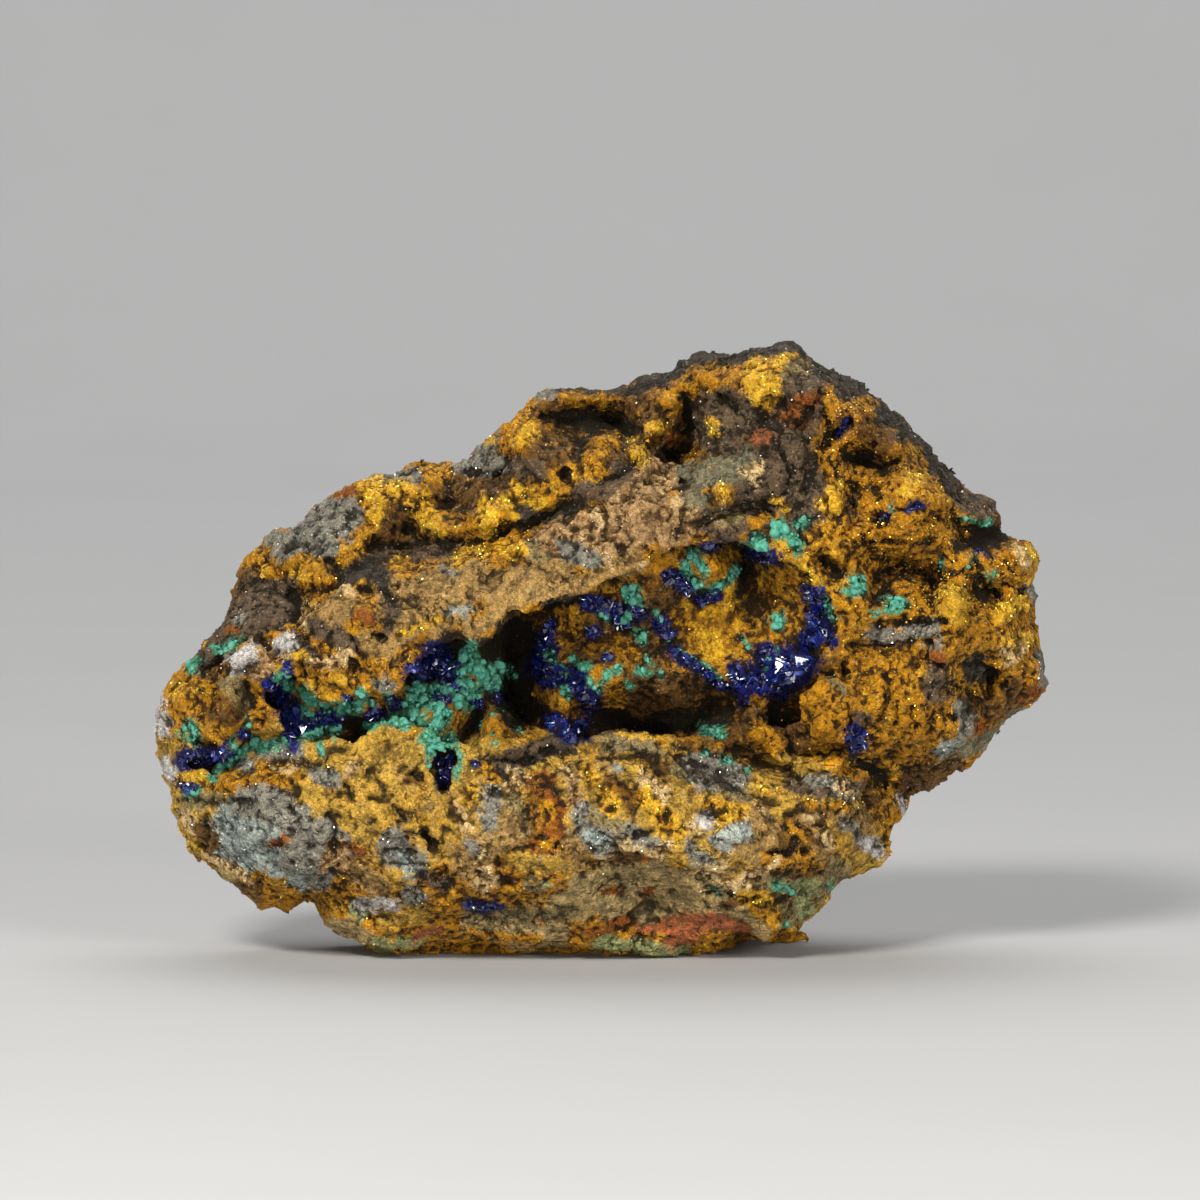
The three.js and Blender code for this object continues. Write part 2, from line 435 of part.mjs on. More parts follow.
function lobeGroup(path, size) {              // malachite: rounded lobes
  let group = null;
  const r = size / UNIT, add = s => { group = group ? group.add(s) : s; };
  path.forEach((p, i) => {
    const { point, normal } = onSurface(p[0], p[1]);
    const lobe = (0.95 + 0.25 * chance()) * r;
    add(placed(new THREE.IcosahedronGeometry(1, 0), point.clone().addScaledVector(normal, 0.18 * r), normal, chance() * 3,
      new THREE.Vector3(lobe, lobe, 0.85 * lobe)));
    const next = path[i + 1];
    if (next) {
      const b = onSurface(next[0], next[1]).point, gap = b.distanceTo(point);
      if (gap > 1.25 * r) {
        const axis = b.clone().sub(point).normalize();
        add(placed(new THREE.OctahedronGeometry(1, 0), point.clone().lerp(b, 0.5).addScaledVector(normal, 0.25 * r), axis, 0.7,
          new THREE.Vector3(r, r, Math.max(1.2 * r, gap * 0.8))));
      }
    }
  });
  return group;
}
function chipGroup(path, size) {              // quartz: angular broken chips
  let group = null;
  const r = size / UNIT;
  for (const p of path) {
    const { point, normal } = onSurface(p[0], p[1]);
    const s = placed(new THREE.DodecahedronGeometry(1, 0), point.clone().addScaledVector(normal, 0.1 * r), normal, chance() * 3,
      new THREE.Vector3((1 + 0.3 * chance()) * r, (0.9 + 0.3 * chance()) * r, 0.75 * r));
    group = group ? group.add(s) : s;
  }
  return group;
}
function touches(a, b) {
  return a.min[0] <= b.max[0] && a.max[0] >= b.min[0] && a.min[1] <= b.max[1] && a.max[1] >= b.min[1] && a.min[2] <= b.max[2] && a.max[2] >= b.min[2];
}
function fitted(group) {                      // trimmed to what it grows on
  let g = group;
  for (const t of taken) if (!t.box || touches(t.box, g.boundingBox())) g = g.subtract(t.body);
  const parts = g.decompose();
  g = parts.reduce((a, b) => (b.volume() > a.volume() ? b : a));
  const s = swollen(g);
  taken.push({ body: s, box: s.boundingBox() });
  return g;
}

// ------------------------------------------------------------ the specimen
const rockMaterial = new THREE.MeshStandardMaterial({ color: 0xa87a2c, roughness: 0.9, metalness: 0 });
const azuriteMaterial = new THREE.MeshStandardMaterial({ color: 0x101468, roughness: 0.2, metalness: 0 });
const malachiteMaterial = new THREE.MeshStandardMaterial({ color: 0x2f9c78, roughness: 0.65, metalness: 0 });
const quartzMaterial = new THREE.MeshStandardMaterial({ color: 0xd6d2cc, roughness: 0.35, metalness: 0 });

const specimen = new THREE.Group();
specimen.position.set(CENTRING[0], CENTRING[1], 0);
function piece(name, geometry, material) {
  const mesh = new THREE.Mesh(geometry, material);
  mesh.name = name;
  specimen.add(mesh);
}
piece('matrix', geometryOf(matrixBody), rockMaterial);
for (const [name, [size, path]] of Object.entries(AZURITE)) piece(name, geometryOf(fitted(bladeGroup(path, size))), azuriteMaterial);
for (const [name, [size, path]] of Object.entries(MALACHITE)) piece(name, geometryOf(fitted(lobeGroup(path, size))), malachiteMaterial);
for (const [name, [size, path]] of Object.entries(QUARTZ)) piece(name, geometryOf(fitted(chipGroup(path, size))), quartzMaterial);

export default specimen;
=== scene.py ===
import math
import bpy
import numpy as np
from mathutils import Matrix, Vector
from mathutils.bvhtree import BVHTree


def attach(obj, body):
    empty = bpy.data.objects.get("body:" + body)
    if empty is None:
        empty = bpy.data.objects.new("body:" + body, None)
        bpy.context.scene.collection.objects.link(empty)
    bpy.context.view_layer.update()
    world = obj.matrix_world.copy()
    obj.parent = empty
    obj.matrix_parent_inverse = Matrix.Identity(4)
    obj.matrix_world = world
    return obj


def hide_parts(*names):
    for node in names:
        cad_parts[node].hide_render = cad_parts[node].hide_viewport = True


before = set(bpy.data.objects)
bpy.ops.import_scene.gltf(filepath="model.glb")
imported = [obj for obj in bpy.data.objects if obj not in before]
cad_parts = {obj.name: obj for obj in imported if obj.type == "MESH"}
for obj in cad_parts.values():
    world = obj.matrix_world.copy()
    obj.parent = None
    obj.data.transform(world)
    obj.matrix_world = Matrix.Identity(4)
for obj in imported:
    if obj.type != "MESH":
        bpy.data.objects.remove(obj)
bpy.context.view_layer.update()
f32 = np.float32

# ------------------------------------------------------------------ the drawing
# The front elevation is drawn in units of 1/9.35 mm, x right and y down, seen from
# 800 mm away and 4 degrees above. Everything below is in millimetres in the
# drawing's own frame; CENTRING then moves it onto the row's frame.
UNIT = 9.35
CENTRE = (601.0, 600.0)
SIGHT = 800.0
TILT = math.radians(4)
LOOK_Z = 37.7
CENTRING = np.array([0.14, -2.03, 0.0])
CT, ST = math.cos(TILT), math.sin(TILT)
EYE = np.array([0.0, -SIGHT * CT, LOOK_Z + SIGHT * ST])

OUTLINE = """791,343 809,350 838,376 853,377 862,381 881,394 891,405 896,406 941,452 949,464 990,495 1008,524
1031,541 1037,548 1031,576 1032,588 1038,598 1033,607 1031,625 1038,636 1039,653 1048,687 1041,698 1042,703
1017,720 1005,733 987,740 933,793 920,797 907,806 893,821 883,857 855,877 843,880 796,929 780,931 766,940
751,931 734,932 722,939 699,945 690,952 681,952 677,959 661,956 653,959 648,954 636,953 632,949 606,948
596,942 574,943 552,939 508,946 496,941 461,943 450,940 418,947 397,952 358,937 348,938 330,925 318,902
308,893 288,904 270,899 257,901 226,880 197,851 187,836 181,825 181,816 175,808 177,802 173,794 176,784
165,773 165,764 152,739 164,689 201,653 208,636 235,605 233,592 238,581 237,573 246,559 262,553 274,532
295,531 318,505 338,493 361,487 376,477 394,478 426,462 439,463 452,458 465,458 485,436 495,433 508,421
512,421 549,387 557,390 587,392 603,387 615,389 649,375 661,374 692,357 721,357 751,350 767,351"""

# Relief of the front: x,y,millimetres in front of the middle plane.
RELIEF = """791,343,2 700,357,1 650,375,-2 600,389,-2 549,388,2 507,421,3 452,458,2 400,476,4 350,489,4 317,505,4
273,532,3 240,562,2 233,595,4 207,637,6 177,675,6 153,735,5 166,775,6 176,805,8 197,851,5 226,880,5 270,899,8
308,892,9 330,925,8 397,951,8 450,940,9 550,940,10 600,943,10 680,953,9 740,931,9 766,939,10 800,928,8 850,879,5
884,855,3 894,820,2 934,793,0 988,740,-1 1018,720,-2 1046,690,0 1037,640,1 1034,590,1 1034,548,1 1008,524,-4
990,495,-6 941,452,-6 894,405,-6 860,381,-5 829,368,-3 808,352,0
800,356,5 826,376,8 866,414,9 896,444,9 934,484,8 950,504,7 954,522,6
700,374,4 660,397,5 740,367,7 775,362,8 760,380,10 800,395,12 842,402,11 835,428,12 872,430,9 552,402,4
600,402,3 640,394,1 560,440,8 600,420,2 625,428,2 608,448,10 650,430,8 640,455,11 665,452,5 690,400,6
690,430,4 716,425,10 505,432,5 525,440,9 520,466,10 488,444,3 468,466,3 540,482,11 582,472,12 560,492,13
490,512,11 450,485,4 400,492,5 380,515,6 430,515,6 400,535,5 360,520,6 365,548,9 345,500,5 310,530,6 275,550,5
305,572,7 260,575,5 255,595,8 290,592,8 250,625,11 285,620,12 225,650,10 242,660,13 284,643,14 200,690,9
175,715,8 228,690,12 225,718,12 262,718,10 270,668,14
300,640,16 320,605,15 350,620,18 330,665,18 380,590,16 400,625,19 380,672,19 430,572,15 450,605,20 480,565,17
500,592,20 520,562,18 540,522,14 560,542,17 562,582,19 600,520,16 600,562,18 650,500,17 650,540,17 700,500,16
700,530,15 720,472,15 740,522,15 770,520,14 780,500,14 800,480,14 760,462,14 800,450,13 740,402,11 760,422,10
790,422,11 720,400,9
440,680,19 520,660,20 600,640,19 680,620,17 760,600,15 820,600,13 780,660,15 700,700,16 560,710,19 330,715,17
280,720,14 230,755,11 390,710,19
850,700,13 900,680,14 950,640,13 900,725,13 930,742,9 955,600,13 1000,620,8 1010,650,7 1028,680,4 985,680,4
960,715,8 880,642,11 920,632,12 900,605,11 866,592,12 930,572,7 880,566,7 900,545,12 860,546,12 940,532,10
915,490,12 890,468,9 868,456,6 842,462,9 832,500,13 870,502,11 960,552,8 978,530,3 990,512,1 1022,552,4
1000,562,6 1018,582,4 985,592,5 975,740,4 1000,715,2 860,740,11 830,735,12 880,765,7 920,772,3 900,790,1
800,745,10
215,790,12 250,775,14 300,768,18 350,750,19 400,762,19 205,830,9 250,830,15 300,830,18 350,830,19 400,850,19
450,860,19 460,800,19 500,800,20 545,820,20 600,790,20 650,780,19 700,800,18 740,800,16 760,840,17 820,820,13
850,800,11 856,840,8 800,870,13 640,850,20 560,880,18 480,885,17 400,885,16 300,880,13 250,870,10 215,860,6
760,900,13 720,865,18 790,905,10 350,905,11 430,915,12 500,915,12 380,930,10 560,915,13 620,880,14 650,905,9
650,935,9 600,930,11 710,915,12 550,765,19 600,750,19 660,750,17 720,765,14 760,780,12 800,785,12"""

# Ridges (+) and hollows (-) over the relief: radius, millimetres, path. The first
# block is shared with the solid; the second is the finer wear of the surface.
STROKES = """10 -4 372,545 388,552 410,545 440,548 470,545 500,535
9 -3 505,532 530,530 555,515 575,500
13 -6 560,415 590,412 615,420 630,435
10 -4 690,402 689,420 686,444
10 -4 664,450 682,452
24 3 757,380 764,376
17 3 596,448 612,444
12 3 640,466 640,446 652,430
16 3 490,500 490,520
13 3 556,402 592,402
15 2 302,568 318,576
17 3 228,692 228,712
14 2 262,715 266,718
9 -2.4 850,456 872,456 884,466
11 -3.2 962,532 985,536 1008,534
10 -4 872,580 900,566 930,574 936,590
8 -3 822,560 836,573
18 4 953,600 957,600
20 2 905,488 912,494
14 4 1024,548 1026,556
10 -4 975,588 992,594
6 -1.6 992,672 986,692
9 -3.5 852,764 870,768 884,780
6 -2.6 790,750 812,754 838,752
9 -3.2 735,752 762,764 785,770
4 -2.2 425,831 434,848
5 -2 398,812 406,818"""
FINE_STROKES = """7 -2.5 290,598 300,612 296,622
5 -2.5 328,562 336,570
5 -3 364,589 370,592
3 -2 376,635 384,639
3 -1.5 430,620 434,622
5 -2 302,590 328,592 340,580
4 -1.5 266,556 276,572 286,582
6 1.6 262,572 268,570
9 1.6 345,556 360,540
7 1.4 398,486 410,492
6 -2 404,528 416,532
5 -2 430,500 446,508 462,502
4 -1.5 462,470 500,474
6 -2.5 508,462 500,478 488,486
5 -3 564,474 570,482
4 -2 538,416 546,412
6 1.5 530,432 520,442
7 -2.5 572,432 584,446 578,456
5 -2.5 622,452 632,462
6 -3 648,446 662,440
5 1.5 600,440 618,446
5 1.5 660,398 676,404
6 1.5 700,372 716,382
6 -2.5 722,396 736,410
5 1.8 710,420 714,432
5 -4 680,486 687,486
5 -2 676,456 688,452 700,458
4 -1.5 600,484 620,476 636,466
4 -1.2 590,505 604,512
4 -1.5 696,524 712,516 735,514
6 1.2 745,524 762,520
5 -2.5 736,512 752,508 770,512
6 1.6 722,492 724,508
5 -2 800,424 812,410 822,396
5 -2 824,410 828,430 824,448
6 -3 834,432 846,420
5 -1.5 782,446 790,470 782,492
5 -1.5 806,440 812,470 806,492
6 1.5 832,492 836,506
6 -2.5 852,492 856,512
6 -2 884,470 896,462
5 -2 896,510 918,508 936,512
5 -2 880,518 890,520
6 -2 952,512 958,528
5 -2 846,532 862,522 880,524
4 -1.4 848,560 880,556 910,556
4 -1.2 856,544 880,540 908,544 930,540
5 -2 918,520 948,520
7 -1.8 936,588 938,604 944,618
20 -1.8 953,600 957,600
16 -1.2 1024,548 1026,556
6 -3 872,598 888,590
4 -2 962,616 976,606 972,590
5 -2.5 1004,584 1020,590
4 -2 1008,560 1016,572
5 -2 930,640 928,655 940,664
4 -1.6 880,624 910,622 935,622
4 -1.6 850,642 880,646 910,642
3 -1.6 882,690 886,706 884,722
3 -1.8 896,706 894,724
3 -1.8 912,706 914,724
3 -1.8 930,712 928,730
3 -1.8 936,714 944,722
4 -2.2 944,710 952,716
3 -1.6 905,728 910,738
3 -1.6 846,706 850,722 840,732
3 -1.4 884,678 886,684
3 -1.4 903,680 906,688
5 -2 840,660 848,674
6 -2.5 818,668 830,672
4 -1.2 985,664 992,680 986,694
5 -2 958,662 980,664
5 -2 966,690 976,700
4 -2 905,770 930,758 950,752
6 -3 888,754 900,762
5 -2 906,786 900,796
6 -3 868,784 884,790
6 1.5 832,766 846,760
5 1.5 806,764 822,768
5 -2.5 800,756 790,770 800,776
5 -2 850,800 868,798
4 -2 846,822 858,812
5 2 872,790 876,798
5 -2 700,812 722,812
4 -1.5 742,798 776,802
4 -1.5 786,816 800,812
4 -1.2 784,826 796,838 788,848
4 -1.5 760,852 780,850 804,852
4 -1.5 764,868 790,870 816,868
4 -2 748,876 760,872
4 -1.5 700,888 730,896 760,898
5 -2 666,812 664,822
4 -1.5 596,796 600,806 610,812
4 -1.5 636,836 650,832
4 -1.5 655,848 668,852
5 -1.5 606,864 632,862 655,866
5 -0.8 528,808 524,824 530,836
5 -1.8 540,836 556,844
5 -1.8 500,862 504,880
4 -1.5 516,850 530,846
4 -1.5 494,792 508,796
6 -2 450,796 456,812
5 -2 440,840 446,828
5 -2 444,868 436,876
4 -1.2 394,808 408,822
4 -2 412,814 420,824
5 -3 349,786 352,798
4 -1.8 340,796 352,802
5 -2 376,798 390,800
5 -2 326,816 336,826
6 -2 336,832 334,846
4 -1.2 292,790 300,806
4 -1.2 258,816 270,822
4 -1.2 262,844 292,846
5 -1.6 254,872 262,884 266,894
5 -1.6 290,884 306,884
5 -1.6 206,820 214,838
4 -1.5 186,798 206,802 226,800
6 1.6 228,782 244,790
5 -2 214,766 232,772 250,770
6 -2.5 270,768 300,762 326,760
5 -2 330,752 346,748
5 1.5 352,766 360,768
5 -2 372,772 384,790
4 -2 402,770 420,778
5 1.5 498,748 514,750
4 -2 492,760 512,762 530,762
4 -1.8 540,752 570,756
5 1.6 590,742 610,738
4 -1.6 600,758 630,756 654,756
4 -1.5 676,758 700,764
6 1.6 752,726 764,738
5 -2.5 786,732 796,742
5 -2.5 812,748 838,752
6 1.5 818,726 830,734
5 -1.8 700,748 716,756
5 1.4 336,680 346,684
5 -2 352,668 358,690
5 -2 372,694 384,700
4 -2 314,672 318,690
4 -2 300,664 306,680
5 1.6 272,664 296,656
6 1.8 232,664 252,656
5 -2 262,640 270,650
6 -2.5 206,672 222,662
5 -2 212,696 214,710
5 -2 246,684 250,700
5 -2 200,738 210,746
5 1.5 178,696 186,710
4 -1.5 160,716 172,724
4 -1.5 316,606 306,622 306,640
5 1.2 364,616 370,620
5 -1.5 386,590 392,604
4 -1.2 350,640 360,656"""

# Mouths of the hollows, and the depth of their floors.
MOUTHS = ["""403,690 404,676 410,666 420,658 432,641 446,636 455,628 466,635 480,640 488,634 497,626 508,612 523,610 530,604
548,602 575,595 592,590 606,582 622,574 640,562 655,551 668,545 690,545 712,544 738,537 748,541 760,548 775,552
790,556 803,565 812,578 822,590 834,596 838,612 838,632 828,645 818,660 822,675 812,690 800,700 800,716 792,728
780,733 768,728 755,735 745,745 730,748 712,745 698,738 660,736 640,734 620,731 604,733 592,740 580,745 552,740
540,742 528,738 515,744 500,742 488,738 480,745 470,748 462,744 440,745 428,738 416,730 404,724 395,716 392,702""",
"""262,700 264,688 272,680 282,674 294,668 300,678 308,688 320,696 332,704 345,700 356,694 372,694 385,696 398,694
404,704 400,716 388,724 372,728 360,740 348,745 335,738 318,742 300,745 285,745 270,752 255,756 242,762 232,772
222,780 212,782 205,772 190,768 182,760 186,752 200,750 215,752 228,750 240,740 246,730 262,732 276,735 284,730
280,718 272,706""",
"""427,754 436,746 448,744 459,744 461,756 458,770 454,784 446,794 438,792 431,780 427,766"""]
FLOOR = """515,650,-6 512,690,-5 518,722,1 500,620,3 540,612,3 430,655,6 450,660,7 410,680,8 420,700,13 440,692,12
445,715,14 430,730,15 408,712,14 480,660,10 495,668,8 470,682,11 482,692,8 475,715,5 475,735,9 463,705,12
490,715,13 503,715,13 497,735,16 520,738,14 545,735,12 545,720,8 565,722,7 545,700,7 540,670,6 545,640,5
560,620,6 572,612,9 570,640,8 575,665,10 590,690,10 600,620,9 630,600,10 650,600,12 655,575,13 680,560,11
640,640,9 620,660,10 610,690,10 650,680,8 690,690,6 670,700,7 620,717,-1 660,719,0 700,717,0 590,720,1
735,715,3 680,640,8 700,620,7 690,600,8 720,640,7 722,672,7 745,600,4 745,565,1 755,580,4 770,580,7 790,600,8
770,640,8 760,660,8 700,560,11 720,567,13 720,588,10 700,590,9 740,545,2 760,550,8 780,560,11 750,690,8
780,670,9 800,650,9 820,610,10 830,620,11 800,680,9 780,715,1 775,702,4 750,715,8 760,733,9 720,735,10
730,725,8 275,690,7 290,700,7 290,725,6 310,700,10 330,715,7 350,715,8 345,735,4 370,712,9 390,712,9 260,740,7
240,750,7 215,760,5 195,760,5 230,765,8 310,735,8 444,768,9 440,756,8"""

# ------------------------------------------------------------------ minerals
# Each: bright colour, dark colour (sRGB), roughness, sparkle, coarseness of the
# surface, granular part, pitting.
MINERALS = {
    "ochre": ((200, 138, 20), (90, 54, 9), 0.62, 0.35, 0.8, 0.8, 0.8),
    "amber": ((200, 138, 26), (62, 38, 9), 0.44, 0.95, 0.9, 0.7, 0.6),
    "mustard": ((214, 170, 68), (152, 118, 48), 0.82, 0.15, 0.45, 0.5, 0.35),
    "gold": ((240, 186, 50), (154, 104, 20), 0.42, 0.80, 0.8, 1.0, 0.5),
    "limonite": ((116, 80, 34), (46, 31, 13), 0.56, 0.45, 1.0, 0.9, 0.8),
    "rust": ((160, 90, 30), (86, 46, 14), 0.66, 0.20, 0.9, 0.8, 0.5),
    "brick": ((192, 108, 64), (150, 92, 56), 0.82, 0.05, 0.4, 0.3, 0.2),
    "tan": ((184, 146, 84), (128, 98, 53), 0.80, 0.20, 0.4, 0.55, 0.3),
    "olive": ((156, 136, 90), (100, 87, 56), 0.80, 0.25, 0.7, 0.7, 0.4),
    "grey": ((152, 148, 134), (84, 82, 74), 0.60, 0.50, 0.7, 0.8, 0.3),
    "blue": ((188, 199, 190), (134, 145, 138), 0.62, 0.45, 0.45, 0.7, 0.25),
    "mauve": ((108, 89, 68), (48, 39, 30), 0.62, 0.45, 0.9, 0.8, 0.5),
    "charcoal": ((68, 61, 53), (30, 27, 24), 0.60, 0.35, 0.9, 0.7, 0.3),
    "pink": ((200, 158, 106), (122, 86, 48), 0.75, 0.35, 0.8, 0.9, 0.4),
    "slate": ((148, 140, 108), (110, 104, 80), 0.70, 0.15, 0.4, 0.4, 0.2),
    "cream": ((244, 210, 150), (158, 118, 62), 0.60, 0.50, 0.9, 1.1, 0.6),
    "pale": ((164, 170, 114), (122, 126, 80), 0.80, 0.12, 0.4, 0.5, 0.2),
    "quartz": ((226, 222, 216), (178, 170, 158), 0.30, 0.50, 0.7, 0.12, 0.05),
    # The next entry is painted shade: a near-black put into holes, slots and under the lips (the K lines).
    "cave": ((24, 18, 11), (9, 7, 5), 0.80, 0.05, 0.8, 0.5, 0.4),
    # The next entry is the underside's tan painted paler than it is: partly its own colour, partly painted light
    # against the shade under the rock (the D lines).
    "under": ((206, 176, 116), (154, 134, 90), 0.80, 0.10, 0.4, 0.45, 0.2),
    # The next entry paints the shaded back wall of the right pocket a brighter ochre: partly its own colour, partly
    # painted light against the overhang's shade (the X lines).
    "wall": ((250, 192, 40), (196, 134, 22), 0.80, 0.15, 0.4, 0.4, 0.35),
    "azure": ((14, 18, 86), (4, 6, 30), 0.40, 0.40, 0.8, 0.8, 0.4),
    "green": ((84, 172, 134), (26, 96, 74), 0.70, 0.15, 0.8, 0.9, 0.4),
}
# What else shows as spots in each.
MIXES = {
    "ochre": "ochre .52 gold .20 limonite .15 rust .04 tan .04 charcoal .03 olive .02",
    "amber": "amber .60 ochre .16 gold .08 limonite .14 charcoal .02",
    "mustard": "mustard .48 tan .14 ochre .15 grey .08 olive .05 limonite .06 cream .04",
    "gold": "gold .64 ochre .20 limonite .12 cream .04",
    "limonite": "limonite .60 ochre .20 mauve .10 charcoal .07 gold .03",
    "rust": "rust .72 ochre .12 limonite .16",
    "brick": "brick .80 rust .12 olive .08",
    "tan": "tan .64 olive .10 ochre .08 grey .08 limonite .04 cream .06",
    "olive": "olive .58 grey .14 tan .12 limonite .06 ochre .05 cream .05",
    "grey": "grey .70 charcoal .10 ochre .06 blue .06 mauve .04 tan .04",
    "blue": "blue .62 grey .24 tan .06 ochre .05 charcoal .03",
    "mauve": "mauve .64 charcoal .13 limonite .10 grey .06 rust .03 ochre .04",
    "charcoal": "charcoal .80 mauve .10 grey .06 limonite .04",
    "pink": "pink .42 cream .16 limonite .17 tan .11 grey .09 charcoal .05",
    "slate": "slate .74 grey .12 tan .09 olive .05",
    "cream": "cream .52 tan .15 limonite .16 ochre .11 pink .06",
    "pale": "pale .70 olive .15 tan .15",
    "quartz": "quartz .86 tan .07 grey .07",
    "cave": "cave .88 limonite .08 charcoal .04",
    "under": "under .70 olive .13 tan .06 rust .05 grey .06",
    "wall": "wall .84 ochre .11 limonite .05",
    "azure": "azure .86 charcoal .05 green .05 limonite .04",
    "green": "green .78 azure .08 limonite .10 ochre .04",
}
KEYS = {"X": "wall", "W": "amber", "J": "mustard", "O": "ochre", "G": "gold", "L": "limonite", "R": "rust", "B": "brick", "T": "tan", "V": "olive", "Y": "grey",
        "U": "blue", "M": "mauve", "C": "charcoal", "P": "pink", "S": "slate", "E": "cream", "N": "pale",
        "Q": "quartz", "K": "cave", "D": "under", "A": "azure", "H": "green"}
NAMES = list(MINERALS)
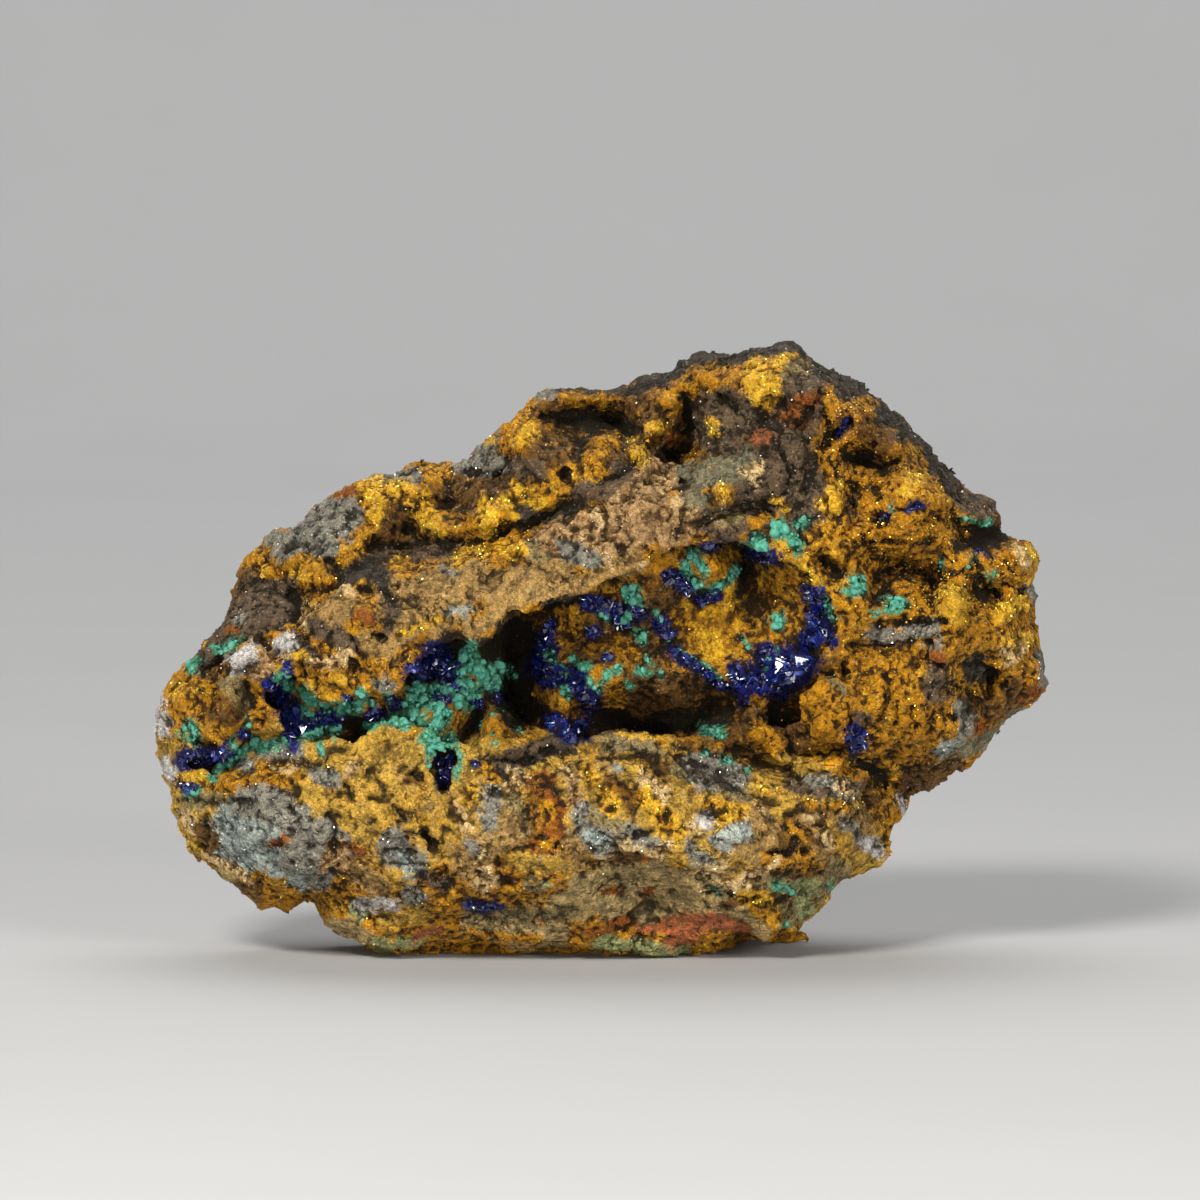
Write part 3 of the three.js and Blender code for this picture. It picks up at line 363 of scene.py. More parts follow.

# Where each mineral shows on the front: letter, radius, path. Later lines lie over
# earlier ones. K lines paint shade black into holes and under the lips; X and D lines
# paint the pocket wall and the underside paler, partly as painted light.
ZONES = """J 70 200,790 420,800 600,800 760,800 820,860
W 60 500,470 640,430 700,390
W 60 860,420 960,560 960,680
L 30 400,530 470,500 540,440 620,440 700,400
O 26 880,690 920,660
O 20 905,495 930,490
M 34 720,420 770,460 800,500 760,500
M 26 800,380 790,440
L 24 640,690 720,700 760,740
L 26 600,640 660,600 640,660
Y 26 250,820 300,830 330,850
T 26 400,600 450,590 420,625 380,650
T 20 330,610 340,600
T 18 470,570 500,590 530,580 560,580
M 9 310,625 335,635 350,645
M 7 386,592 396,612 384,628
M 8 300,640 310,655
P 28 640,500 655,480 620,520 600,535
P 24 640,540 680,520 690,510 660,530
P 15 550,540 580,530
M 12 596,482 620,472 560,510
C 8 520,512 545,516 578,504
S 15 690,476 716,472 742,464
S 9 690,492 700,498
Y 8 566,548 582,556 590,562
T 12 545,566 562,574
V 9 528,552 542,556
C 15 815,356 850,386 880,408 920,446 960,482 1000,514
C 15 866,386 905,422 942,462 980,500
C 8 696,361 740,355 784,347 800,350
C 8 560,392 600,391 650,383 688,364
Y 5 540,393 552,394
Y 8 482,448 496,440
Y 10 462,464 495,466
G 4 484,442 490,440
Y 17 284,545 310,530 335,512
Y 13 274,542 300,552 326,551
Y 10 346,500 350,512 346,530
Y 8 372,482 392,480 412,476
R 5 338,497 352,492
G 9 372,489 388,491 405,488 412,497
G 11 420,500 425,516 442,526
G 7 380,508 370,526
O 10 366,534 358,548 348,560 338,568
L 9 394,514 402,526
L 9 446,500 462,510
O 9 440,520 470,525
K 5 402,530 413,528
K 5 374,548 390,556 412,549
K 4 440,545 472,544
M 7 376,561 396,553 430,552 470,552
G 8 461,560 468,550 482,553
G 4 396,563 403,558
O 8 248,564 262,572
G 5 262,573 268,570
L 8 244,578 240,592
O 14 300,567 314,570 322,582 312,590
G 5 294,572 304,576
M 17 258,592 284,592 274,614 250,610 236,620
M 15 286,604 232,630 220,642
Y 5 240,614 244,618
R 4 230,628 234,632
K 7 291,597 301,606 296,616
K 5 328,563 335,569
K 4 364,589 370,592
K 2 377,635 384,639
E 4 343,588 350,592
C 9 350,573 372,570 380,578
R 5 362,616 370,619
E 2 313,604 304,618 305,636
Y 5 466,620 474,626
Y 5 446,571 454,577
U 4 455,610 462,612
G 3 398,634 446,617
O 8 404,655 412,668 400,690 386,668 360,664
O 8 410,650 424,640
Y 7 380,682 392,686
O 4 372,692 386,698 398,692
O 14 320,680 342,684
G 5 334,681 346,678
G 6 270,666 285,661 299,655
Q 10 230,665 244,660 253,654
Q 8 279,646 289,641
P 8 254,673 268,668 262,655
E 7 320,663 334,662 346,658
L 8 204,672 222,668
M 8 208,655 200,668
O 10 180,698 190,714
G 6 174,690 186,686 206,690
V 11 232,688 242,702
L 9 214,714 236,722 224,706
O 11 261,718 270,712
O 11 218,736 238,734
U 6 240,762 250,766
Y 6 262,753 300,753 284,749
O 16 222,782 246,790
O 12 266,772 292,776
E 3 274,765 286,771 300,762 318,768
Q 7 159,702 160,732
Q 7 168,766 173,775
G 8 184,775 202,778
V 8 190,800 215,800
U 28 232,832 258,850 288,852
Y 18 250,802 282,814 310,834 300,862
Y 13 330,852 320,876
R 4 273,842 287,842
E 5 184,814 194,826
L 7 204,828 213,842
E 3 204,852 222,864 242,870 252,882
O 7 256,876 276,882 292,886
D 7 218,874 236,884
L 6 240,885 262,896
U 6 295,880 303,885
J 7 298,786 312,800 316,812
Y 8 318,774 336,782
J 17 348,806 374,820 392,832
J 11 340,800 346,820
J 12 398,790 422,800
J 12 442,786 446,808
L 6 412,776 424,780
P 9 336,846 346,862 330,862
R 5 354,846 361,851
Y 16 394,848 410,866
U 7 404,860 411,872
Y 9 411,894 419,901
K 3 396,812 404,820
K 4 425,831 432,846
K 4 350,788 351,798
J 8 384,878 402,876
O 7 362,886 344,888
T 10 380,892 360,872
E 8 352,771 358,765
J 8 440,850 451,845
O 7 456,884 448,892
M 9 430,878 442,882
O 8 322,896 334,912 358,924
Q 7 358,905 376,905 391,904
N 4 350,909 362,917
J 8 384,920 424,914
N 5 350,936 390,946 422,940
D 8 330,925 362,934
B 4 418,935 440,930
B 8 690,937 668,941
N 6 600,943 640,947 682,951
D 8 478,930 522,940 562,938
Y 8 876,636 908,633 932,628
Y 6 934,646 943,640
M 12 940,670 934,692
M 5 858,715 868,717
R 4 940,660 934,654
Y 9 960,708 970,722 966,734
C 5 964,700 972,712
R 6 974,731 986,724
R 6 1024,698 1036,690
L 10 980,702 1000,706 1012,692
K 3 990,670 991,688
C 10 968,668 980,680 976,664
G 9 992,618 1010,610 1022,600
O 16 958,642 975,630 1000,640
G 7 1006,640 1030,640
E 5 1004,651 1020,650 1010,663
Y 5 1030,588 1037,600
Y 6 1040,656 1045,682
S 7 1040,706 1010,724 980,744 942,756
U 4 940,750 956,745
L 14 930,776 910,788 952,768
K 6 868,766 884,776
K 5 888,590 876,598
K 6 829,564 837,575
K 6 974,590 986,600
L 8 878,576 910,570 932,576
G 14 948,596 956,610
L 7 868,788 876,796
V 6 834,680 842,692
L 8 818,665 829,660
O 9 806,690 816,700
G 16 758,374 766,392
G 6 778,363 792,358
V 8 788,371 802,366
R 9 796,406 813,397
R 9 786,416 800,422
B 5 754,441 766,436
W 12 838,414 862,410
W 13 838,446 872,436
L 11 868,430 886,440
O 7 904,450 922,466
G 9 828,506 840,490
O 16 908,492 928,502
G 9 904,492 916,478
L 9 850,500 856,522
W 28 880,542 932,546
K 6 850,460 874,461 886,471
K 9 978,530 1002,540 958,546
M 11 964,500 986,507
G 7 1021,545 1029,562
E 4 1017,546 1026,566
L 8 1000,520 1018,536
O 15 514,442 526,430
G 7 518,440 531,434
O 9 568,402 596,404
L 12 549,414 556,442
M 10 524,466 538,470
K 10 562,418 600,423 630,433
K 6 584,446 574,440
O 9 590,454 612,440
G 8 634,442 641,460
G 5 654,425 666,428
O 12 558,482 576,466 596,470
O 9 544,502 562,490
G 8 518,490 536,500
O 11 688,386 710,375 722,385
O 9 658,401 682,410
G 4 667,392 675,394
L 8 638,402 652,410
K 6 690,404 689,426
K 7 667,455 681,460
R 4 664,436 670,440
G 5 710,418 713,432
O 6 690,445 684,456
M 15 728,400 742,428 730,446
K 4 680,486 687,486
E 6 596,510 601,521
G 13 485,508 490,526
G 6 505,500 511,516
G 6 498,545 510,550 523,553
L 10 727,496 720,508
G 5 722,490 728,511
E 4 744,471 758,465 756,480
M 12 708,520 742,516 720,541
V 6 722,520 736,518
G 6 777,500 786,511
O 6 754,522 766,517
O 8 638,562 656,556
L 8 598,576 622,570
E 4 608,561 642,566
O 30 700,618 722,640 752,602
X 19 704,610 714,640 728,604
X 10 788,586 794,604
X 8 764,570 778,576
G 7 728,606 740,601
O 24 780,590 792,612 762,572
O 12 720,560 718,576
G 7 799,567 812,578 820,588
G 6 780,556 784,548
K 6 746,558 743,578 738,592
K 22 515,640 514,690 520,712
K 12 602,718 660,722 722,720
K 14 430,658 450,646 490,650
O 12 598,640 620,652 642,660
L 14 642,602 664,600
O 9 570,614 575,626
O 9 600,690 622,696
L 14 650,682 684,690 640,702
L 13 700,702 742,700
L 12 690,742 722,746
O 10 758,734 772,746
K 9 774,710 780,724
L 13 788,722 802,744
O 8 488,722 500,736
O 8 524,734 531,746
K 6 478,712 476,730
G 8 588,746 620,740 652,746
K 8 444,758 443,785
K 10 345,722 358,726
T 30 480,860 520,840 560,860
V 20 590,820 620,840 650,845
J 26 600,780 640,800 670,830
V 22 740,900 800,890 830,870
T 22 740,860 800,840 850,830
M 9 492,768 518,754 545,745 574,739
C 4 505,775 540,757 566,747
V 7 585,738 600,742 604,750
J 10 586,742 596,756
V 9 612,744 634,746 654,750
J 12 584,766 594,780 604,786
G 7 586,770 592,782
L 7 640,757 652,766 664,770
T 5 606,762 620,772
U 3 614,764 618,770
L 8 612,782 624,796 630,806
G 8 604,796 614,808 606,804
E 8 642,782 654,788 664,792
G 9 642,798 652,808 662,822 672,834 684,840
O 5 660,818 668,830
G 5 672,822 682,834
V 12 684,768 706,772 724,784 740,792
C 5 690,770 706,774 722,784 736,790
Y 5 694,782 708,790
J 5 680,784 694,794 712,800
Y 8 690,762 716,764 742,776
J 9 756,782 768,792 776,800
G 5 758,786 766,792
O 4 704,808 716,808 726,809
K 2.5 702,811 714,812 727,811
Q 6 704,817 712,820 717,819
G 7 724,816 738,812 746,818
U 9 716,842 730,836 744,831
E 3 706,856 720,850 736,848
Y 8 690,846 700,858 712,864
J 7 704,846 716,856
E 4 700,866 714,870 722,864
J 10 736,860 748,868 742,878
T 11 758,816 766,830 764,844
L 11 792,826 800,838 794,846
W 6 790,828 798,838
L 3 786,822 782,838 788,850 804,848
L 3 800,824 812,840 820,846
W 9 768,862 790,862 816,864
W 4 762,858 780,856 806,856
L 3 762,872 790,874 820,872
M 9 796,782 820,786 850,790
Y 6 806,778 830,784 850,794
E 4 838,786 852,792
T 6 806,822 826,826 838,838
E 3 804,818 820,822
T 7 826,856 840,850
Y 6 846,826 856,838
Q 7 868,844 878,852
Q 5 897,800 904,808
E 3 742,878 764,870 776,858
T 6 744,850 752,860
E 3 690,824 700,832
E 3 756,804 768,812
W 6 810,804 828,806 846,808
L 4 806,812 830,812
J 9 830,830 842,842 846,852
E 5 826,836 832,846
Y 8 486,796 494,808 488,820
Y 8 478,786 492,790
V 8 514,800 520,816 518,834
T 8 510,820 516,840
E 6 466,796 460,810 466,826
E 6 514,774 524,780 508,786
E 6 568,772 576,782 572,796 578,802
P 7 572,786 576,800
R 18 540,790 550,806 548,826 540,842
L 8 532,796 534,812 532,832
O 6 548,806 552,816 544,820
W 5 540,846 552,842 560,850
L 3 528,786 546,783 560,790
Y 12 582,812 592,830 600,846
U 6 590,836 604,840
V 5 588,816 600,822
Y 9 628,832 642,838 656,846
E 5 622,850 640,852 658,850 668,846
E 6 600,860 618,862 636,860 648,864
L 5 614,858 634,856 650,858
R 3 644,858 654,862
O 16 510,866 534,874 566,872
J 10 520,860 548,864 570,868
R 6 502,872 512,884
O 6 512,886 524,894
N 6 532,882 540,888 546,884
V 5 530,880 542,890
E 8 474,848 482,866 478,884 492,880
T 7 466,856 470,876
Y 5 468,842 474,850
O 4 478,772 486,766 494,776
G 7 474,786 466,800
L 7 690,884 704,892 722,896
L 12 720,898 744,904 764,900
E 5 716,882 730,888 744,886
G 6 740,894 756,900 772,898
O 7 752,912 768,920 778,912
L 9 776,890 796,900 806,896
N 6 772,884 790,885 812,888
N 6 800,900 808,908 800,914
V 6 784,910 792,922
D 7 740,914 752,924 764,934
D 26 596,896 650,888 700,902
D 16 560,906 620,912 690,912
D 12 600,884 640,880 672,886
D 5 612,882 640,876 664,882
D 8 620,900 650,904 690,906
R 4 610,890 622,894
R 4 640,894 652,890
B 8 636,931 680,924 720,921 742,927
B 8 690,937 668,941
R 6 518,932 560,925 604,928 630,922
O 4 560,922 600,924
N 6 600,943 640,947 682,951
O 3 622,931 652,938
D 8 470,922 522,932 562,934
V 8 470,912 520,916 570,910
O 4 470,930 500,936 540,940
A 5 467,905 486,908 502,905
T 8 470,630 500,614 520,602 560,590 600,577 636,558
K 5 458,649 482,648 500,636 512,622
K 4 545,607 570,600 590,594
A 10 186,760 205,758 228,757
A 12 278,690 288,708 296,726 292,738
A 9 300,722 320,720 338,718
A 14 425,664 446,660 452,676
A 10 412,674 426,676
A 14 544,648 540,668 552,680
A 13 572,680 586,692 590,704
A 11 550,720 566,728 577,736
A 10 590,602 602,606 618,610
A 8 630,610 642,612 620,624
A 8 660,622 670,634
A 7 672,650 686,660 702,670 718,682
A 9 666,575 682,583 694,590
A 8 700,600 708,597 717,592
A 6 706,548 717,548
A 8 748,550 760,557 773,558
A 17 742,680 770,682 792,672 802,656
A 13 764,656 777,662
A 13 810,640 819,620 815,600
A 9 736,690 742,696
A 11 856,734 857,746
A 5 450,757 450,768
A 6 838,431 848,421
A 4 881,519 889,516
A 4 906,511 920,506
A 5 183,786 196,790"""

# Azurite: the group's name, size of a blade, radius that it covers, paths.
AZURITE = {
    "azurite_left_tip": "9 6 184,761 200,757 216,757 230,755",
    "azurite_cleft": "12 8 274,684 282,692 286,706 292,716 298,726 292,740; 9 6 302,722 318,720 336,718; 8 4 288,664 290,676; 7 3 343,696 351,700; 7 4 240,733 250,738",
    "azurite_vug_left": "13 9 428,652 444,656 438,668 454,672; 11 7 414,670 427,674; 10 5 438,696 446,702; 9 5 472,700 481,704; 9 5 393,701 399,709; 9 6 454,682 461,692; 8 5 370,716 384,712; 7 4 497,690 500,701",
    "azurite_pillar": "14 9 546,648 540,664 550,678 562,674; 12 8 574,680 585,692 590,702; 9 6 551,626 546,642; 7 3 604,654 608,658",
    "azurite_sill": "11 7 550,718 563,727 576,735; 7 4 578,722 585,722",
    "azurite_ledge_top": "11 7 588,600 602,606 618,609; 9 5 630,609 642,613; 9 5 616,622 626,626; 8 4 590,634 598,630",
    "azurite_ledge_rib": "9 6 658,621 669,634; 8 4 672,648 686,659 702,669 716,680 725,686",
    "azurite_nodule_rim": "10 6 666,575 681,583 694,590; 9 5 699,601 708,597 717,592; 8 4 705,547 717,548",
    "azurite_pocket_top": "9 5 748,550 760,557 773,558",
    "azurite_band": "16 11 742,680 766,684 788,674 802,658; 13 9 764,654 776,662; 13 9 808,644 818,622 814,598; 10 5 806,591 824,596; 9 6 734,670 738,690; 9 5 827,628 831,640; 9 5 774,692 783,696; 8 4 740,694 746,700",
    "azurite_right_low": "11 8 855,732 857,746",
    "azurite_lower_seam": "7 3 466,905 484,908 502,905",
    "azurite_specks": "8 6 440,760 446,772 444,782; 6 3 450,756 450,768; 6 3 473,764 477,766; 7 3 837,432 848,421; 6 2 881,519 889,515; 6 2 906,511 920,506; 7 4 182,786 197,790; 6 2 978,550 980,552"}
# Malachite: size of a lobe, radius that it covers, paths.
MALACHITE = {
    "malachite_cleft_rim": "7 5 213,777 224,766 236,755 246,747 257,741; 7 5 262,748 275,743 288,741; 8 6 302,739 314,733 326,728 337,731; 6 3 318,741 322,752; 6 3 232,742 238,750",
    "malachite_cleft_back": "9 6 282,676 288,686; 8 5 299,688 309,697 319,704 328,709; 8 4 304,713 311,716",
    "malachite_cleft_mid": "9 6 339,709 349,705 358,708; 7 4 358,692 366,698; 6 3 370,700 376,706; 6 3 387,696 391,700; 6 4 366,727 384,722 400,724",
    "malachite_vug_main": "11 8 405,706 420,700 436,706 446,716; 10 6 452,690 462,702; 9 6 425,736 440,744 452,746; 12 7 410,692 421,688; 13 7 412,712 418,722; 11 7 434,690 446,692; 13 7 441,720 431,730; 11 6 449,736 456,744; 8 5 393,717 405,724; 7 4 430,750 427,766",
    "malachite_vug_upper": "10 7 468,648 476,662 486,676 494,684; 9 6 476,690 470,700; 11 7 464,656 470,670 482,674; 9 6 458,668 463,686 470,692; 9 5 488,670 500,667 508,672; 7 4 484,683 494,690; 6 2 509,672 517,679",
    "malachite_slot_wall": "5 2 458,746 461,760 456,780",
    "malachite_ledge_top": "10 7 626,594 636,601 630,589; 10 5 623,620 632,612; 6 2 598,612 609,619; 8 5 640,630 644,641; 6 3 645,654 648,663; 6 3 655,612 659,618",
    "malachite_nodule_ring": "8 4 685,564 688,575 696,583 706,588; 8 4 714,589 725,583 733,575 736,567; 9 5 699,563 706,573; 7 4 691,554 698,560",
    "malachite_pocket_top": "11 6 757,546 765,548 762,539; 7 4 751,537 756,535; 5 1 738,543 746,548",
    "malachite_pocket_crown": "12 7 777,524 780,536; 11 7 789,538 801,546; 11 5 800,525 809,521",
    "malachite_pocket_mid": "8 5 777,618 776,626 784,620; 8 4 773,654 770,663; 6 3 743,640 747,646",
    "malachite_right_upper": "8 7 854,577 861,588 852,588",
    "malachite_right_lower": "8 6 888,600 901,605 887,609; 6 3 872,613 877,611",
    "malachite_lower_lip": "8 5 704,728 712,732 723,736; 5 3 702,757 705,753; 5 3 725,759 730,763; 5 2 744,770 748,768",
    "malachite_base_right": "7 3 773,887 782,884 792,891; 6 2 711,889 719,893; 6 3 827,886 831,884; 6 2 781,927 787,924",
    "malachite_specks": "7 4 189,669 196,660; 8 4 216,650 228,648 240,641; 6 4 193,721 195,742; 6 3 184,727 188,730; 6 2 246,727 250,721; 7 4 189,793 199,790; 6 3 986,573 991,577; 6 2 967,567 976,559; 5 2 941,561 943,567; 6 2 964,518 974,521; 6 2 984,524 993,519; 5 2 890,507 893,512; 6 3 545,655 551,651; 9 4 553,662 553,665; 9 4 561,670 563,673; 7 4 571,657 573,661; 7 4 580,668 588,667; 8 4 565,687 566,697; 7 4 590,679 597,690; 6 3 603,681 607,671; 6 3 613,672 618,664; 6 3 627,682 631,687; 6 3 638,669 645,673; 6 2 660,671 664,679; 6 3 825,598 831,608; 5 2 833,614 834,620; 4 1 678,648 692,656 706,664 722,678; 4 1 667,642 673,636; 5 2 492,715 490,709; 5 2 497,738 494,744; 5 1 484,720 478,728; 5 2 518,730 522,734"}
QUARTZ = {
    "quartz_left_edge": "9 5 160,700 160,716 160,732; 9 5 169,767 173,775",
    "quartz_left_face": "13 7 230,666 243,661 252,655",
    "quartz_druse": "6 6 279,646 288,642",
    "quartz_lower_left": "11 5 358,905 374,906 390,904",
    "quartz_lower_right": "9 4 897,805 905,797; 6 2 893,808 891,812"}

# ------------------------------------------------------------------ helpers
def numbers(text):
    return np.array([[float(v) for v in p.split(",")] for p in text.split()])


def strokes(text):
    out = []
    for line in text.strip().splitlines():
        bits = line.split()
        out.append((float(bits[0]), float(bits[1]), numbers(" ".join(bits[2:]))))
    return out


OUTLINE, RELIEF, FLOOR = numbers(OUTLINE), numbers(RELIEF), numbers(FLOOR)
MOUTHS = [numbers(m) for m in MOUTHS]
STROKES = strokes(STROKES) + [(r, h * (0.55 if h < 0 and path[:, 1].mean() > 745 else 1.0), path) for r, h, path in strokes(FINE_STROKES)]


def to_drawing(p):
    v = p[:, 2] - LOOK_Z
    k = UNIT * SIGHT / (SIGHT + p[:, 1] * CT - v * ST)
    return CENTRE[0] + k * p[:, 0], CENTRE[1] - k * (p[:, 1] * ST + v * CT)


def sight_ray(px, py):
    a, b = (px - CENTRE[0]) / UNIT / SIGHT, (CENTRE[1] - py) / UNIT / SIGHT
    d = np.array([a, CT + b * ST, b * CT - ST])
    return d / np.linalg.norm(d)


def scatter(p, seed):                      # one random 32-bit number per whole point
    h = p[0] * np.uint32(0x8DA6B343) ^ p[1] * np.uint32(0xD8163841) ^ p[2] * np.uint32(0xCB1AB31F) ^ np.uint32(seed * 0x9E3779B1 & 0xFFFFFFFF)
    h ^= h >> np.uint32(16)
    h *= np.uint32(0x7FEB352D)
    h ^= h >> np.uint32(15)
    h *= np.uint32(0x846CA68B)
    return h ^ (h >> np.uint32(16))


def noise(p, scale, seed):                 # smooth noise, about -1 to 1; p (n,3) in mm
    q = p.astype(f32) / f32(scale) + f32(37.3)
    base = np.floor(q)
    w = q - base
    i = base.astype(np.int32).view(np.uint32)
    s = w * w * w * (w * (w * 6 - 15) + 10)
    out = np.zeros(len(p), f32)
    for dx in (0, 1):
        for dy in (0, 1):
            for dz in (0, 1):
                h = scatter((i[:, 0] + np.uint32(dx), i[:, 1] + np.uint32(dy), i[:, 2] + np.uint32(dz)), seed)
                g = ((h & np.uint32(255)).astype(f32) * f32(1 / 127.5) - 1) * (w[:, 0] - dx)
                g += (((h >> np.uint32(8)) & np.uint32(255)).astype(f32) * f32(1 / 127.5) - 1) * (w[:, 1] - dy)
                g += (((h >> np.uint32(16)) & np.uint32(255)).astype(f32) * f32(1 / 127.5) - 1) * (w[:, 2] - dz)
                g *= s[:, 0] if dx else 1 - s[:, 0]
                g *= s[:, 1] if dy else 1 - s[:, 1]
                g *= s[:, 2] if dz else 1 - s[:, 2]
                out += g
    return out * f32(1.35)


def fractal(p, scale, octaves, seed, gain=0.5):
    out, a, t = np.zeros(len(p), f32), 1.0, 0.0
    for k in range(octaves):
        out += f32(a) * noise(p, scale / 2.03 ** k, seed + 17 * k)
        t += a
        a *= gain
    return out / f32(t)


def cells(p, scale, seed, jitter=0.9):     # distance to the nearest and next cell point, the nearest's number, its tilted face
    q = p.astype(f32) / f32(scale) + f32(91.7)
    base = np.floor(q)
    w = q - base
    i = base.astype(np.int32).view(np.uint32)
    f1 = np.full(len(p), 9, f32)
    f2 = np.full(len(p), 9, f32)
    who = np.zeros(len(p), np.uint32)
    vec = np.zeros((len(p), 3), f32)
    for dx in (-1, 0, 1):
        for dy in (-1, 0, 1):
            for dz in (-1, 0, 1):
                h = scatter((i[:, 0] + np.uint32(dx & 0xFFFFFFFF), i[:, 1] + np.uint32(dy & 0xFFFFFFFF), i[:, 2] + np.uint32(dz & 0xFFFFFFFF)), seed)
                o = np.stack([c + f32(0.5) + f32(jitter) * (((h >> np.uint32(10 * k)) & np.uint32(1023)).astype(f32) * f32(1 / 1023) - f32(0.5)) - w[:, k]
                              for k, c in enumerate((dx, dy, dz))], 1)
                d = (o * o).sum(1)
                near = d < f1
                f2 = np.where(near, f1, np.minimum(f2, d))
                f1 = np.where(near, d, f1)
                who = np.where(near, h, who)
                vec = np.where(near[:, None], o, vec)
    who ^= who >> np.uint32(13)
    who *= np.uint32(0x5BD1E995)
    lean = np.stack([((who >> np.uint32(8 * k)) & np.uint32(255)).astype(f32) / f32(127.5) - 1 for k in (0, 1, 2)], 1)
    face = (lean * vec).sum(1)
    return np.sqrt(f1), np.sqrt(f2), (who >> np.uint32(19) & np.uint32(4095)).astype(f32) / f32(4095), face


def ramp(v, lo, hi):
    t = np.clip((v - lo) / (hi - lo), 0, 1)
    return t * t * (3 - 2 * t)


def smooth_max(a, b, k):
    h = np.maximum(0, k - np.abs(a - b))
    return np.maximum(a, b) + h * h / (4 * k)


class Sheet:                               # a picture-like table over the drawing
    def __init__(self, x0, y0, x1, y1, step):
        self.x0, self.y0, self.step = x0, y0, step
        self.xs, self.ys = np.arange(x0, x1 + step, step, dtype=float), np.arange(y0, y1 + step, step, dtype=float)
        self.gx, self.gy = np.meshgrid(self.xs, self.ys)
        self.v = np.zeros(self.gx.shape)

    def at(self, px, py, v=None):
        v = self.v if v is None else v
        u = np.clip((px - self.x0) / self.step, 0, len(self.xs) - 1.001)
        w = np.clip((py - self.y0) / self.step, 0, len(self.ys) - 1.001)
        i, j = u.astype(np.int32), w.astype(np.int32)
        a, b = u - i, w - j
        if v.ndim == 3:
            a, b = a[:, None], b[:, None]
        return (v[j, i] * (1 - a) + v[j, i + 1] * a) * (1 - b) + (v[j + 1, i] * (1 - a) + v[j + 1, i + 1] * a) * b

    def window(self, path, reach):
        x0, y0 = path[:, 0].min() - reach, path[:, 1].min() - reach
        x1, y1 = path[:, 0].max() + reach, path[:, 1].max() + reach
        a, b = np.searchsorted(self.xs, [x0, x1])
        c, d = np.searchsorted(self.ys, [y0, y1])
        return slice(c, d), slice(a, b)


def segment(px, py, a, b):
    dx, dy = b[0] - a[0], b[1] - a[1]
    t = np.clip(((px - a[0]) * dx + (py - a[1]) * dy) / (dx * dx + dy * dy + 1e-12), 0, 1)
    return np.hypot(px - a[0] - t * dx, py - a[1] - t * dy)


def polyline(px, py, path):
    if len(path) == 1:
        return np.hypot(px - path[0][0], py - path[0][1])
    return np.minimum.reduce([segment(px, py, path[i], path[i + 1]) for i in range(len(path) - 1)])


def polygon(px, py, poly):                 # distance, negative inside
    d = np.full(px.shape, 1e9)
    inside = np.zeros(px.shape, bool)
    for i in range(len(poly)):
        a, b = poly[i - 1], poly[i]
        d = np.minimum(d, segment(px, py, a, b))
        if a[1] != b[1]:
            inside ^= ((b[1] > py) != (a[1] > py)) & (px < (a[0] - b[0]) * (py - b[1]) / (a[1] - b[1]) + b[0])
    return np.where(inside, -d, d)


def plate(points, stiff, px, py):          # smooth surface through scattered points
    n, s = len(points), 100.0
    x, y = points[:, 0] / s, points[:, 1] / s

    def kern(dx, dy):
        r2 = dx * dx + dy * dy
        return r2 * np.log(np.maximum(r2, 1e-12)) / 2
    A = np.zeros((n + 3, n + 3))
    A[:n, :n] = kern(x[:, None] - x, y[:, None] - y) + stiff * np.eye(n)
    A[:n, n:] = np.stack([np.ones(n), x, y], 1)
    A[n:, :n] = A[:n, n:].T
    w = np.linalg.solve(A, np.concatenate([points[:, 2], np.zeros(3)]))
    X, Y = px.ravel() / s, py.ravel() / s
    out = w[n] + w[n + 1] * X + w[n + 2] * Y
    for i in range(n):
        out += w[i] * kern(X - x[i], Y - y[i])
    return out.reshape(px.shape)


# ------------------------------------------------------------------ tables over the drawing
coarse = Sheet(120, 310, 1080, 990, 5)
sheet = Sheet(120, 310, 1080, 990, 2)
GX, GY = sheet.gx, sheet.gy
relief = coarse.at(GX.ravel(), GY.ravel(), plate(RELIEF, 0.004, coarse.gx, coarse.gy)).reshape(GX.shape)
for radius, lift, path in STROKES:
    win = sheet.window(path, radius * 1.6 + 2)
    q = 1 - (polyline(GX[win], GY[win], path) / (radius * 1.6)) ** 2
    relief[win] += lift * np.maximum(q, 0) ** 2
relief = np.minimum(relief, 21.5)
edge = polygon(GX, GY, OUTLINE) / UNIT
floor_depth = coarse.at(GX.ravel(), GY.ravel(), plate(FLOOR, 0.004, coarse.gx, coarse.gy)).reshape(GX.shape)
mouths = []
for m in MOUTHS:
    d = np.full(GX.shape, 60.0)
    win = sheet.window(m, 40)
    d[win] = polygon(GX[win], GY[win], m)
    mouths.append(d / UNIT)

